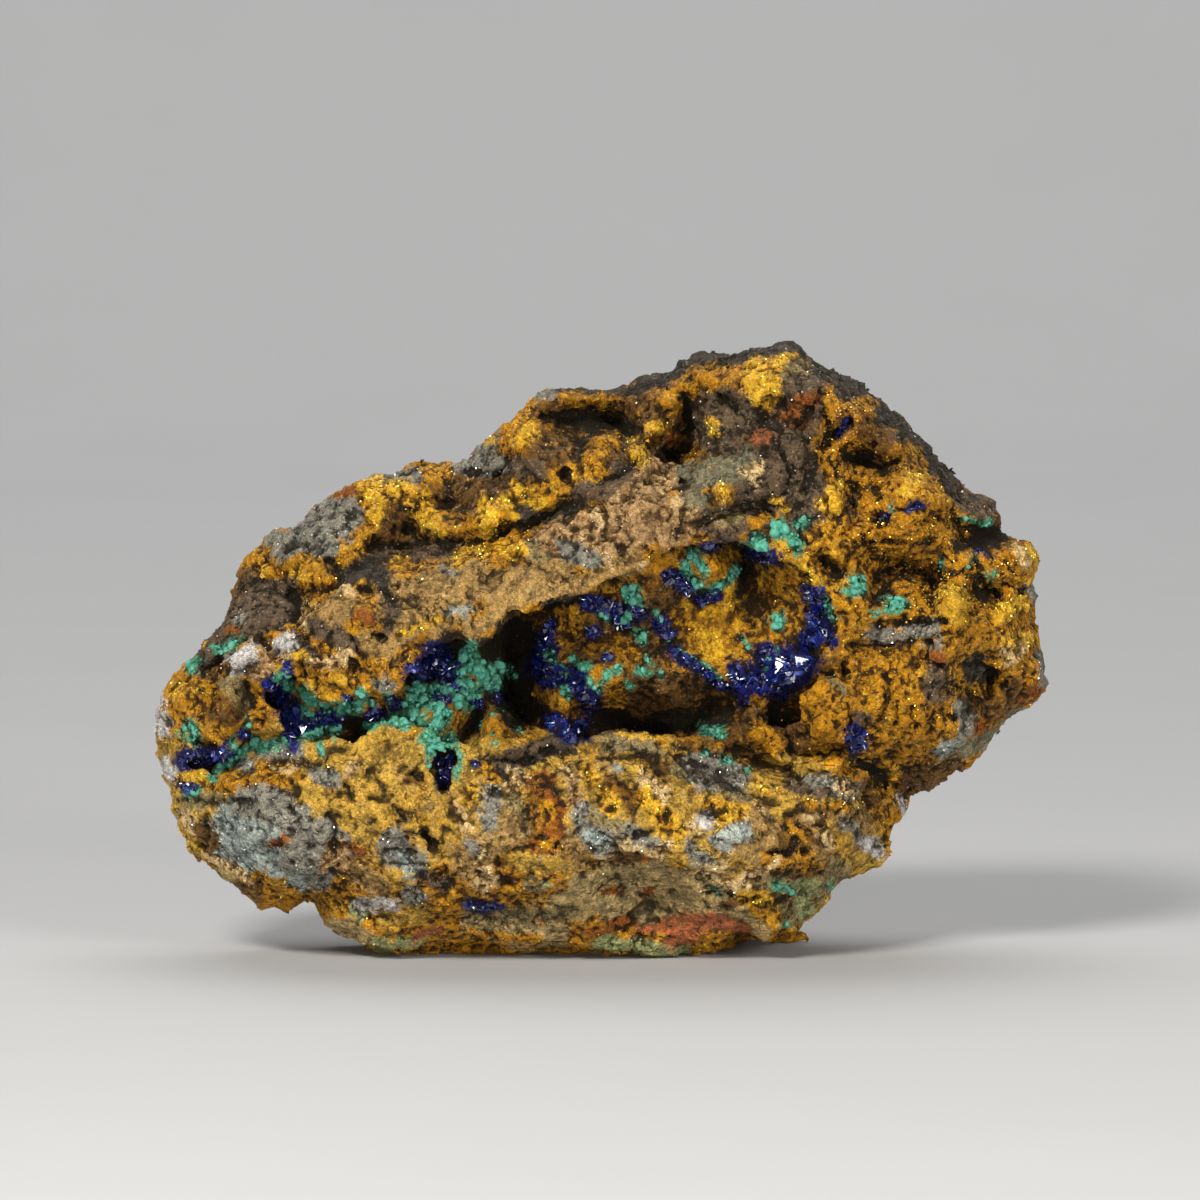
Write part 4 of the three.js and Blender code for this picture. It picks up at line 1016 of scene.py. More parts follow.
# Mineral weights over the drawing, each stroke with a ragged edge.
flat = np.stack([GX.ravel(), GY.ravel(), np.zeros(GX.size)], 1)
ragged = (fractal(flat, 26, 4, 501, 0.62)).reshape(GX.shape)
weights = np.zeros(GX.shape + (len(NAMES),), f32)
weights[..., NAMES.index("ochre")] = 1
for line in ZONES.splitlines():
    bits = line.split()
    radius, path, k = float(bits[1]), numbers(" ".join(bits[2:])), NAMES.index(KEYS[bits[0]])
    win = sheet.window(path, radius * 1.9 + 4)
    d = polyline(GX[win], GY[win], path) + ragged[win] * min(radius * 0.9, 16)
    a = (1 - ramp(d, radius * 0.78, radius * 1.2 + 1)).astype(f32)
    weights[win] *= (1 - a)[..., None]
    weights[win][..., k] += a
for groups, kind, reach in ((AZURITE, "azure", 1.15), (MALACHITE, "green", 0.9)):
    for text in groups.values():
        for part in text.split(";"):
            bits = part.split()
            radius, path, k = float(bits[1]) * reach, numbers(" ".join(bits[2:])), NAMES.index(kind)
            win = sheet.window(path, radius * 1.9 + 4)
            d = polyline(GX[win], GY[win], path) + ragged[win] * min(radius * 0.7, 8)
            a = (1 - ramp(d, radius * 0.85, radius * 1.25 + 1)).astype(f32)
            weights[win] *= (1 - a)[..., None]
            weights[win][..., k] += a

# ------------------------------------------------------------------ the rock as a field
BACK = 23.5
BACK_FACES = [(BACK, -0.10, -0.04), (BACK + 6.0, 0.46, -0.10), (BACK + 9.5, -0.52, 0.06), (BACK + 5.5, -0.10, -0.62),
              (BACK + 4.0, 0.04, 0.42), (BACK + 7.0, 0.40, -0.46), (BACK + 8.0, -0.34, 0.52), (BACK + 7.5, 0.36, 0.50)]


def rock(p, fine=False):
    """Signed field of the rock in mm, negative inside."""
    x, y, z = p[:, 0], p[:, 1], p[:, 2]
    stand = ramp(x, -27, -19) * (1 - ramp(x, 10, 17))
    drop = 2.6 * ramp(y, -7, 3) * stand
    zs = z.copy()
    for _ in range(4):
        zs = z + drop * (1 - ramp(zs, 1, 8))
    q = np.stack([x, y, zs], 1)
    wob = np.stack([noise(q, 5.5, 11), noise(q, 5.5, 12), noise(q, 5.5, 13)], 1) * 0.55
    wob += np.stack([noise(q, 2.1, 14), noise(q, 2.1, 15), noise(q, 2.1, 16)], 1) * 0.28
    if fine:
        wob += np.stack([noise(q, 1.1, 17), noise(q, 1.1, 18), noise(q, 1.1, 19)], 1) * 0.26
        wob += np.stack([noise(q, 0.6, 23), noise(q, 0.6, 24), noise(q, 0.6, 25)], 1) * 0.12
    qw = q + wob
    px, py = to_drawing(q)
    wx, wy = to_drawing(qw)
    foot = 1 - ramp(zs, 3, 12)
    behind = np.maximum(0, y - 1)
    side = sheet.at(px, py, edge) + (0.30 * behind + 0.012 * behind ** 2) * (1 - foot) - 0.8 * foot * ramp(y, -5, 2) * stand
    rel = sheet.at(wx, wy, relief)
    back = np.minimum.reduce([c + a * x + b * (zs - 33) for c, a, b in BACK_FACES])
    front = (-rel - y) * 0.75
    body = smooth_max(smooth_max(front, side, 1.5), (y - back) * 0.9, 1.2)
    # broken blocks: each cell of the rock stands a little proud or shy of the next
    far = ramp(y, -2, 6)
    f1, f2, who, face = cells(q + wob * 2, 7.5, 21)
    body += ((who - 0.5) * 0.8 + face * 1.4) * (0.35 + 0.45 * far)
    g1, g2, whole, plane = cells(q + wob, 13.0, 27)
    body += ((whole - 0.5) * 1.6 + plane * 4.2 + 0.5 * (1 - ramp(g2 - g1, 0, 0.05))) * ramp(y, 4, 13)
    f1, f2, who, face = cells(q + wob, 3.4, 22)
    body += ((who - 0.5) * 0.4 + face * 0.8) * (0.60 + 0.05 * far)
    body += 0.40 * fractal(q, 4.2, 3, 31) + 0.30 * np.abs(noise(q, 2.4, 41))
    cut = np.full(len(p), 9.0)
    depth = y + rel
    for m in mouths:
        under = -0.35 + 1.5 * ramp(depth, 0.4, 4.5) - 0.9 * ramp(depth, 8, 16)
        c = np.maximum((sheet.at(wx, wy, m) - under), (y + sheet.at(wx, wy, floor_depth)) * 0.8)
        cut = np.minimum(cut, c)
    cut += 0.45 * fractal(q, 2.6, 2, 51)
    return smooth_max(smooth_max(body, -cut, 0.5), -z, 0.02), cut


STEP = 0.66
gx, gy, gz = np.arange(-50, 50, STEP), np.arange(-25, 30, STEP), np.arange(-2 * STEP, 68, STEP)
shape = (len(gx), len(gy), len(gz))
P = np.stack(np.meshgrid(gx, gy, gz, indexing="ij"), -1).reshape(-1, 3)
px, py = to_drawing(P)
near_edge = sheet.at(px, py, edge)
near = (near_edge < 3.5) & (P[:, 1] > -23.5)
F = np.full(len(P), 5.0)
F[near] = rock(P[near])[0]
F = F.reshape(shape)
F[0] = F[-1] = 5
F[:, 0] = F[:, -1] = 5
F[:, :, 0] = F[:, :, -1] = 5


def surface_nets(F, origin, h):
    inside = F < 0
    count = np.zeros(tuple(s - 1 for s in F.shape), np.uint8)
    offs = [(a, b, c) for a in (0, 1) for b in (0, 1) for c in (0, 1)]
    for a, b, c in offs:
        count += inside[a:F.shape[0] - 1 + a, b:F.shape[1] - 1 + b, c:F.shape[2] - 1 + c]
    active = (count > 0) & (count < 8)
    index = np.full(active.shape, -1, np.int64)
    at = np.argwhere(active)
    index[active] = np.arange(len(at))
    vals = {o: F[at[:, 0] + o[0], at[:, 1] + o[1], at[:, 2] + o[2]] for o in offs}
    total, n = np.zeros((len(at), 3)), np.zeros(len(at))
    for o in offs:
        for axis in range(3):
            if o[axis]:
                continue
            e = list(o); e[axis] = 1
            a, b = vals[o], vals[tuple(e)]
            cross = (a < 0) != (b < 0)
            t = np.where(cross, a / np.where(a == b, 1, a - b), 0)
            pt = np.array(o, float)[None, :].repeat(len(at), 0)
            pt[:, axis] += t
            total += pt * cross[:, None]
            n += cross
    verts = (at + total / n[:, None]) * h + origin
    quads = []
    for axis in range(3):
        lo = [slice(1, -1)] * 3; lo[axis] = slice(0, -1)
        hi = [slice(1, -1)] * 3; hi[axis] = slice(1, None)
        A, B = inside[tuple(lo)], inside[tuple(hi)]
        edges_at = np.argwhere(A != B)
        if not len(edges_at):
            continue
        out = A[tuple(edges_at.T)]
        base = edges_at + 1
        base[:, axis] -= 1
        u, v = [(1, 2), (2, 0), (0, 1)][axis]
        eu, ev = np.zeros(3, int), np.zeros(3, int)
        eu[u], ev[v] = 1, 1
        quad = np.stack([index[tuple((base - eu - ev).T)], index[tuple((base - ev).T)], index[tuple(base.T)], index[tuple((base - eu).T)]], 1)
        quad[~out] = quad[~out][:, ::-1]
        quads.append(quad)
    return verts, np.concatenate(quads)


V, Q = surface_nets(F, np.array([gx[0], gy[0], gz[0]]), STEP)
short = np.linalg.norm(V[Q[:, 0]] - V[Q[:, 2]], axis=1) < np.linalg.norm(V[Q[:, 1]] - V[Q[:, 3]], axis=1)
T = np.concatenate([Q[short][:, [0, 1, 2]], Q[short][:, [0, 2, 3]], Q[~short][:, [0, 1, 3]], Q[~short][:, [1, 2, 3]]])


def largest(V, T):
    label = np.arange(len(V))
    e = np.concatenate([T[:, [0, 1]], T[:, [1, 2]]])
    for _ in range(200):
        m = np.minimum(label[e[:, 0]], label[e[:, 1]])
        old = label.copy()
        np.minimum.at(label, e[:, 0], m)
        np.minimum.at(label, e[:, 1], m)
        label = label[label]
        if (label == old).all():
            break
    ids, n = np.unique(label[T[:, 0]], return_counts=True)
    keep = label[T[:, 0]] == ids[n.argmax()]
    T = T[keep]
    used = np.unique(T)
    back = np.full(len(V), -1); back[used] = np.arange(len(used))
    return V[used], back[T]


def edges_of(T):
    e = np.sort(np.concatenate([T[:, [0, 1]], T[:, [1, 2]], T[:, [2, 0]]]), 1)
    key = e[:, 0].astype(np.int64) * (T.max() + 1) + e[:, 1]
    _, first, inv = np.unique(key, return_index=True, return_inverse=True)
    return e[first], inv.reshape(3, -1).T


def average(V, T, values):                 # mean of the neighbours' values
    e, _ = edges_of(T)
    n = np.bincount(e.ravel(), minlength=len(V)).astype(float)
    cols = [np.bincount(e[:, 0], values[e[:, 1], k], len(V)) + np.bincount(e[:, 1], values[e[:, 0], k], len(V)) for k in range(values.shape[1])]
    return np.stack(cols, 1) / np.maximum(n, 1)[:, None]


def normals(V, T):
    fn = np.cross(V[T[:, 1]] - V[T[:, 0]], V[T[:, 2]] - V[T[:, 0]])
    out = np.stack([np.bincount(T.ravel(), np.repeat(fn[:, k], 3), len(V)) for k in range(3)], 1)
    return out / np.maximum(np.linalg.norm(out, axis=1), 1e-12)[:, None], fn


def refine(V, T, want):
    """Splits the edges that want(V, e, T, sides) marks, and the triangles on them."""
    e, sides = edges_of(T)
    mark = want(V, e, T, sides)
    mid = np.full(len(e), -1)
    mid[mark] = len(V) + np.arange(mark.sum())
    V2 = np.concatenate([V, (V[e[mark, 0]] + V[e[mark, 1]]) / 2])
    m, n = mid[sides], mark[sides].sum(1)
    out = [T[n == 0]]
    for k in range(3):                     # one marked edge
        s = (n == 1) & mark[sides[:, k]]
        t, a = T[s], m[s, k]
        i, j, l = k, (k + 1) % 3, (k + 2) % 3
        out += [np.stack([t[:, i], a, t[:, l]], 1), np.stack([a, t[:, j], t[:, l]], 1)]
        s = (n == 2) & ~mark[sides[:, k]]  # two marked edges: k is the whole one
        t, a, b = T[s], m[s, (k + 1) % 3], m[s, (k + 2) % 3]
        out += [np.stack([t[:, l], b, a], 1), np.stack([b, t[:, i], t[:, j]], 1), np.stack([b, t[:, j], a], 1)]
    s = n == 3
    t, a, b, c = T[s], m[s, 0], m[s, 1], m[s, 2]
    out += [np.stack([t[:, 0], a, c], 1), np.stack([a, t[:, 1], b], 1), np.stack([c, b, t[:, 2]], 1), np.stack([a, b, c], 1)]
    return V2, np.concatenate(out)


V, T = largest(V, T)
for _ in range(2):
    V += 0.5 * (average(V, T, V) - V)
print("rock base", len(V), len(T))

view = np.array([0, CT, -ST])


def thin(V, T, weight, ratio):             # fewer triangles where weight is 1
    me = bpy.data.meshes.new("thin")
    me.from_pydata(V.tolist(), [], T.tolist())
    ob = bpy.data.objects.new("thin", me)
    bpy.context.scene.collection.objects.link(ob)
    group = ob.vertex_groups.new(name="w")
    for k in range(0, 11):
        group.add(np.where(np.rint(weight * 10) == k)[0].tolist(), k / 10, "REPLACE")
    m = ob.modifiers.new("thin", "DECIMATE")
    m.ratio, m.vertex_group, m.vertex_group_factor, m.use_collapse_triangulate = ratio, "w", 10.0, True
    out = ob.evaluated_get(bpy.context.evaluated_depsgraph_get()).to_mesh()
    v = np.empty(len(out.vertices) * 3, f32)
    out.vertices.foreach_get("co", v)
    t = np.empty(len(out.polygons) * 3, np.int32)
    out.polygons.foreach_get("vertices", t)
    bpy.data.objects.remove(ob)
    bpy.data.meshes.remove(me)
    return v.reshape(-1, 3).astype(float), t.reshape(-1, 3).astype(np.int64)


n, _ = normals(V, T)
behind = ramp(n @ view, 0.05, 0.35)
behind = np.maximum(behind, ramp(V[:, 1], 5, 10))
V, T = thin(V, T, behind, 0.64)
print("rock thinned", len(V), len(T))


def longest(extra):                        # marks the longest edges of the front
    def want(V, e, T, sides):
        n, _ = normals(V, T)
        facing = -(n @ view)
        a, b = e[:, 0], e[:, 1]
        length = np.linalg.norm(V[a] - V[b], axis=1)
        length *= ramp(np.minimum(facing[a], facing[b]), -0.25, 0.15) * (1 - 0.7 * ramp((V[a, 1] + V[b, 1]) / 2, 2, 10))
        mark = np.zeros(len(e), bool)
        mark[np.argsort(-length, kind="stable")[:extra]] = True
        return mark
    return want


V, T = refine(V, T, longest((150000 - len(T)) // 2))
V += 0.30 * (average(V, T, V) - V)
V, T = refine(V, T, longest((197000 - len(T)) // 2))
for _ in range(2):                         # onto the field again, now that the mesh is fine enough for its small shapes
    N, _ = normals(V, T)
    step = -rock(V, True)[0] * 0.8
    V += N * np.clip(step, -0.45, 0.45)[:, None] * (V[:, 2] > 0.3)[:, None]
V += 0.12 * (average(V, T, V) - V)
print("rock refined", len(V), len(T))

# ------------------------------------------------------------------ surface detail
px, py = to_drawing(V)
wx = px + 7 * fractal(V, 3.0, 3, 601)
wy = py + 7 * fractal(V, 3.0, 3, 602)
W = sheet.at(wx, wy, weights)
N, _ = normals(V, T)
hidden = ramp(V[:, 1] + 3 * fractal(V, 7, 2, 603), 0, 5) * ramp(N @ view, -0.25, 0.25)
hidden = np.maximum(hidden, ramp(V[:, 1], 6, 12))
wild = np.zeros_like(W)
a, b, c = fractal(V, 16, 4, 611, 0.6), fractal(V, 11, 4, 612, 0.6), fractal(V, 5, 3, 613, 0.6)
def put(name, amount):
    global wild
    amount = amount.astype(wild.dtype)
    wild *= (1 - amount)[:, None]
    wild[:, NAMES.index(name)] += amount
put("ochre", np.ones(len(V)))
put("limonite", ramp(a + 0.3 * c, -0.12, 0.05))
put("mauve", ramp(b + 0.3 * c, 0.00, 0.12))
put("grey", ramp(-b + 0.4 * c, 0.10, 0.22))
put("charcoal", ramp(a - b, 0.22, 0.34))
put("rust", ramp(c, 0.30, 0.42) * 0.8)
put("tan", ramp(-a + 0.5 * c, 0.18, 0.28))
put("amber", ramp(fractal(V, 7, 4, 615, 0.6), 0.10, 0.20) * 0.9)
put("mustard", ramp(fractal(V, 9, 4, 616, 0.6), 0.16, 0.26) * 0.9)
put("green", ramp(fractal(V, 4, 3, 614), 0.44, 0.50) * 0.9)
W = W * (1 - hidden)[:, None] + wild * hidden[:, None]
W /= W.sum(1)[:, None]
spots = np.zeros((len(NAMES), len(NAMES)))
for k, text in MIXES.items():
    bits = text.split()
    for other, part in zip(bits[::2], bits[1::2]):
        spots[NAMES.index(k), NAMES.index(other)] += float(part)
own = W.copy()
W = W @ spots


def choose(W, size, seed, spread_):
    score = np.log(W + 1e-5)
    for k in range(len(NAMES)):
        score[:, k] += spread_ * fractal(V, size, 2, seed + 3 * k, 0.6) + 0.6 * spread_ * noise(V, 5.5, seed + 100 + k)
    score -= score.max(1)[:, None]
    W = np.exp(score * 4.5)
    return W / W.sum(1)[:, None]


px2, py2 = to_drawing(V + 1.1 * np.stack([noise(V, 2.4, 651), noise(V, 2.4, 652), noise(V, 2.4, 653)], 1))
W2 = sheet.at(px2, py2, weights) * (1 - hidden)[:, None] + wild * hidden[:, None]
W2 = choose((W2 / W2.sum(1)[:, None]) @ spots, 1.5, 1300, 2.4)
W = choose(W, 1.9, 700, 1.4)
table = np.array([list(MINERALS[k][0]) + list(MINERALS[k][1]) + list(MINERALS[k][2:]) for k in NAMES], float)


def linear(c):
    c = np.asarray(c, float) / 255
    return np.where(c <= 0.04045, c / 12.92, ((c + 0.055) / 1.055) ** 2.4)


col_a, col_b = W @ linear(table[:, 0:3]), W @ linear(table[:, 3:6])
col_c, col_d = W2 @ linear(table[:, 0:3]), W2 @ linear(table[:, 3:6])
rough, spark, coarse_amt, grain_amt, pit_amt = (W @ table[:, 6:11]).T
coarse_amt = 0.5 * coarse_amt + 0.5 * (own @ table[:, 8])
crystal = own[:, NAMES.index("azure")] + own[:, NAMES.index("green")]
tone_and_painted_light = 1 + 0.22 * fractal(V, 9, 3, 801) + 0.25 * noise(V, 2.6, 803)
# Paler on the seen front than on the hidden side, and more in the lower band: partly the band's own paler colour,
# partly painted light against its shade.
tone_and_painted_light *= 1 + (0.07 + 0.13 * ramp(py, 735, 790)) * (1 - hidden)
col_a, col_b = col_a * tone_and_painted_light[:, None], col_b * tone_and_painted_light[:, None]
col_c, col_d = col_c * tone_and_painted_light[:, None], col_d * tone_and_painted_light[:, None]

# broken faces, crumbs and cracks
warp = V + 0.30 * np.stack([noise(V, 1.7, 71), noise(V, 1.7, 72), noise(V, 1.7, 73)], 1)
f1, f2, who, face = cells(warp, 2.6, 74)
disp = coarse_amt * (0.16 * (who - 0.5) + 0.42 * face)
f1, f2, who, face = cells(warp, 1.2, 75)
disp += (0.5 * coarse_amt + 0.5 * grain_amt) * (0.12 * (who - 0.5) + 0.31 * face)
disp += grain_amt * 0.12 * (0.55 - f1)
disp += coarse_amt * (0.22 * (0.35 - np.abs(noise(V, 1.8, 81))) + 0.17 * noise(V, 0.75, 82))
pits = ramp(fractal(V, 1.3, 2, 91), 0.24, 0.42)
disp -= pit_amt * 0.50 * pits * (1 - 0.7 * hidden)
disp += hidden * (0.16 * face + 0.20 * noise(V, 0.9, 83))
floor_z = V[:, 2] < 0.35
V2 = V + N * disp[:, None]
V2[:, 2] = np.where(floor_z, np.minimum(V[:, 2], np.maximum(V2[:, 2], 0)), V2[:, 2])
V2[:, 2] = np.maximum(V2[:, 2], 0)
V = V2
N, _ = normals(V, T)
smooth, hollows = V, 0
for k in range(1, 41):                     # how far each point lies below its smoothed surroundings
    smooth = average(V, T, smooth)
    if k in (1, 4, 14, 40):
        d = ((smooth - V) * N).sum(1)
        hollows = hollows + d * {1: 2.3, 4: 1.2, 14: 0.55, 40: 0.30}[k]
cavity = np.clip(0.5 + (0.72 - 0.52 * hidden) * hollows, 0, 1)   # above half in hollows; the rock shader paints shade from it
print("triangles", len(T), "box", V.min(0) + CENTRING, V.max(0) + CENTRING, "cavity", np.percentile(cavity, [5, 25, 50, 75, 95]))


# ------------------------------------------------------------------ mesh objects
def mesh_object(name, verts, tris, smooth=True, colors=None, uv=None):
    me = bpy.data.meshes.new(name)
    co = ((verts + CENTRING) / 1000).astype(f32)
    me.vertices.add(len(co))
    me.vertices.foreach_set("co", co.ravel())
    me.loops.add(len(tris) * 3)
    me.loops.foreach_set("vertex_index", tris.astype(np.int32).ravel())
    me.polygons.add(len(tris))
    me.polygons.foreach_set("loop_start", np.arange(0, len(tris) * 3, 3, dtype=np.int32))
    me.polygons.foreach_set("use_smooth", np.full(len(tris), smooth))
    me.update(calc_edges=True)
    for key, c in (colors or {}).items():
        at = me.color_attributes.new(key, "FLOAT_COLOR", "POINT")
        rgba = np.ones((len(verts), 4), f32)
        rgba[:, :c.shape[1]] = c
        at.data.foreach_set("color", rgba.ravel())
    if uv is not None:
        layer = me.uv_layers.new(name="OFBake")
        layer.data.foreach_set("uv", uv.astype(f32).ravel())
    ob = bpy.data.objects.new(name, me)
    bpy.context.scene.collection.objects.link(ob)
    return ob


class Tree:                                # short hand for node trees
    def __init__(self, name):
        self.mat = bpy.data.materials.new(name)
        self.mat.use_nodes = True
        self.nt = self.mat.node_tree
        self.nt.nodes.clear()
        self.bsdf = self.new("ShaderNodeBsdfPrincipled")
        out = self.new("ShaderNodeOutputMaterial")
        self.link(self.bsdf.outputs[0], out.inputs[0])
        tc = self.new("ShaderNodeTexCoord")
        self.mm = self.vec("SCALE", tc.outputs["Object"], scale=1000)

    def new(self, kind, **kw):
        n = self.nt.nodes.new(kind)
        for k, v in kw.items():
            setattr(n, k, v)
        return n

    def link(self, a, b):
        self.nt.links.new(a, b)

    def put(self, sock, v):
        if isinstance(v, (int, float, tuple)):
            sock.default_value = v if not isinstance(v, tuple) else (tuple(v) + (1.0,))[:len(sock.default_value)]
        else:
            self.link(v, sock)

    def vec(self, op, a, b=None, scale=None):
        n = self.new("ShaderNodeVectorMath", operation=op)
        self.put(n.inputs[0], a)
        if b is not None:
            self.put(n.inputs[1], b)
        if scale is not None:
            self.put(n.inputs["Scale"], scale)
        return n.outputs[0]

    def math(self, op, a, b=0.0, c=0.0, clamp=False):
        n = self.new("ShaderNodeMath", operation=op, use_clamp=clamp)
        for s, v in zip(n.inputs, (a, b, c)):
            self.put(s, v)
        return n.outputs[0]

    def noise(self, scale, detail=4, rough=0.6, distort=0.0, vector=None):
        n = self.new("ShaderNodeTexNoise")
        self.put(n.inputs["Vector"], vector or self.mm)
        n.inputs["Scale"].default_value = scale
        n.inputs["Detail"].default_value = detail
        n.inputs["Roughness"].default_value = rough
        n.inputs["Distortion"].default_value = distort
        return n.outputs[0]

    def voronoi(self, scale, feature="F1", output="Distance", vector=None):
        n = self.new("ShaderNodeTexVoronoi", feature=feature)
        self.put(n.inputs["Vector"], vector or self.mm)
        n.inputs["Scale"].default_value = scale
        return n.outputs[output]

    def span(self, v, lo, hi, a=0.0, b=1.0):
        n = self.new("ShaderNodeMapRange", interpolation_type="SMOOTHSTEP")
        for s, x in zip(n.inputs, (v, lo, hi, a, b)):
            self.put(s, x)
        return n.outputs[0]

    def mix(self, f, a, b, blend="MIX"):
        n = self.new("ShaderNodeMix", data_type="RGBA", blend_type=blend)
        self.put(n.inputs[0], f)
        self.put(n.inputs[6], a)
        self.put(n.inputs[7], b)
        return n.outputs[2]

    def split(self, name):
        n = self.new("ShaderNodeVertexColor", layer_name=name)
        s = self.new("ShaderNodeSeparateColor")
        self.link(n.outputs[0], s.inputs[0])
        return n.outputs[0], s.outputs[0], s.outputs[1], s.outputs[2]

    def bump(self, height, distance, strength=1.0, under=None):
        n = self.new("ShaderNodeBump")
        n.inputs["Strength"].default_value = strength
        n.inputs["Distance"].default_value = distance
        self.put(n.inputs["Height"], height)
        if under is not None:
            self.link(under, n.inputs["Normal"])
        return n.outputs[0]

    def done(self, **kw):
        for k, v in kw.items():
            self.put(self.bsdf.inputs[k.replace("_", " ")], v)
        return self.mat


def rock_material():
    t = Tree("host_rock_surface")
    a, _, _, _ = t.split("col_a")
    b, _, _, _ = t.split("col_b")
    _, rough, spark, hollow = t.split("surf")
    big = t.noise(0.8, 4, 0.64)
    small = t.noise(2.9, 5, 0.72)
    grain = t.voronoi(3.4, output="Color")
    gs = t.new("ShaderNodeSeparateColor")
    t.link(grain, gs.inputs[0])
    c, _, _, _ = t.split("col_c")
    d, _, _, _ = t.split("col_d")
    pick = t.math("ADD", t.math("MULTIPLY", big, 0.40), t.math("MULTIPLY", small, 0.60))
    pick = t.math("ADD", pick, t.math("MULTIPLY", t.math("SUBTRACT", gs.outputs[0], 0.5), 0.16))
    # hollows lean towards the dark colour: painted shade
    pick = t.math("ADD", pick, t.math("MULTIPLY", t.math("SUBTRACT", hollow, 0.5), 0.50))
    lit = t.span(pick, 0.40, 0.60)
    other = t.math("ADD", t.noise(1.25, 6, 0.72), t.math("MULTIPLY", t.math("SUBTRACT", gs.outputs[2], 0.5), 0.10))
    col = t.mix(t.span(other, 0.475, 0.515), t.mix(lit, a, b), t.mix(lit, c, d))
    col = t.mix(1.0, col, t.span(gs.outputs[1], 0.0, 1.0, 0.76, 1.24), "MULTIPLY")
    col = t.mix(1.0, col, t.span(t.noise(7.0, 3, 0.6), 0.3, 0.7, 0.66, 1.30), "MULTIPLY")
    # near-black deep in hollows: partly dark grime, partly painted shade
    col = t.mix(t.span(hollow, 0.62, 1.0, 0.0, 0.85), col, (0.014, 0.009, 0.004))
    # paler on raised parts: painted light
    col = t.mix(t.span(hollow, 0.40, 0.05, 0.0, 0.45), col, t.mix(1.0, col, (1.5, 1.42, 1.3), "MULTIPLY"))
    # hairline cracks, and pin holes painted near-black: painted shade standing in for small holes
    wob = t.new("ShaderNodeTexNoise")
    t.link(t.mm, wob.inputs["Vector"])
    wob.inputs["Scale"].default_value = 0.9
    wob.inputs["Detail"].default_value = 4
    bent = t.vec("ADD", t.mm, t.vec("SCALE", wob.outputs[1], scale=1.6))
    crack = t.voronoi(0.42, "DISTANCE_TO_EDGE", vector=bent)
    crack = t.math("MULTIPLY", t.span(crack, 0.035, 0.008), t.span(t.noise(0.25, 2, 0.5), 0.50, 0.60))
    pits = t.span(t.noise(2.4, 3, 0.7), 0.37, 0.30)
    dark = t.math("MAXIMUM", crack, t.math("MULTIPLY", pits, 0.85))
    col = t.mix(t.math("MULTIPLY", dark, 0.85), col, (0.012, 0.008, 0.004))
    # painted glints: rare tiny spots painted pale gold-white into the colour, more often where the sparkle is high
    painted_glint_cells = t.voronoi(5.0, output="Color")
    fs = t.new("ShaderNodeSeparateColor")
    t.link(painted_glint_cells, fs.inputs[0])
    painted_glint = t.span(t.math("ADD", fs.outputs[2], t.math("MULTIPLY", spark, 0.045)), 0.990, 1.0)
    col = t.mix(t.math("MULTIPLY", painted_glint, 0.6), col, t.mix(0.5, t.mix(1.0, col, (2.2, 2.1, 1.9), "MULTIPLY"), (0.60, 0.55, 0.42)))
    r = t.math("SUBTRACT", rough, t.math("MULTIPLY", t.math("MULTIPLY", spark, t.span(gs.outputs[2], 0.6, 0.95)), 0.4), clamp=True)
    h1 = t.bump(t.math("ADD", t.math("MULTIPLY", t.noise(2.8, 6, 0.72), 1.0), t.math("MULTIPLY", t.voronoi(3.4), -0.35)), 0.00095, 1.0)
    h2 = t.bump(t.voronoi(6.5), 0.00005, 0.8, h1)
    return t.done(Base_Color=col, Roughness=r, Normal=h2, Specular_IOR_Level=0.42, Specular_Tint=(1.0, 0.86, 0.62))


ROCK = rock_material()
rock_ob = mesh_object("matrix_rock", V, T, True, {"col_a": col_a, "col_b": col_b, "col_c": col_c, "col_d": col_d, "surf": np.stack([rough, spark, cavity], 1)})
rock_ob.data.materials.append(ROCK)

bvh = BVHTree.FromPolygons(V.tolist(), T.tolist())
rng = np.random.default_rng(8142)


def hit(px, py):
    d = sight_ray(px, py)
    p, n, i, _ = bvh.ray_cast(Vector(EYE), Vector(d), 1000)
    if p is None:
        return None
    n = np.array(n)
    return np.array(p), (n if n @ d < 0 else -n), i


def cluster_points(text, density):
    """Points on the rock under each stroke: (position, normal, size in mm)."""
    out = []
    for part in text.split(";"):
        bits = part.split()
        size, radius, path = float(bits[0]), float(bits[1]), numbers(" ".join(bits[2:]))
        legs = [path[i + 1] - path[i] for i in range(len(path) - 1)]
        area = 2 * radius * sum(np.hypot(*l) for l in legs) + 3.14 * radius ** 2
        for _ in range(max(3, int(density * area / (size * size)))):
            t = rng.random() * len(legs)
            i = min(int(t), len(legs) - 1)
            c = path[i] + legs[i] * (t - i)
            r, a = radius * math.sqrt(rng.random()), rng.random() * 6.2832
            h = hit(c[0] + r * math.cos(a), c[1] + r * math.sin(a))
            if h is not None:
                out.append((h[0], h[1], size / UNIT))
    return out


def frames(normal, spin):                  # (n,3,3) with the third axis along the normal
    z = normal / np.linalg.norm(normal, axis=1)[:, None]
    x = np.cross(z, np.where(np.abs(z[:, [0]]) < 0.8, [[1.0, 0, 0]], [[0, 1.0, 0]]))
    x /= np.linalg.norm(x, axis=1)[:, None]
    y = np.cross(z, x)
    c, s = np.cos(spin)[:, None], np.sin(spin)[:, None]
    return np.stack([c * x + s * y, c * y - s * x, z], 2)


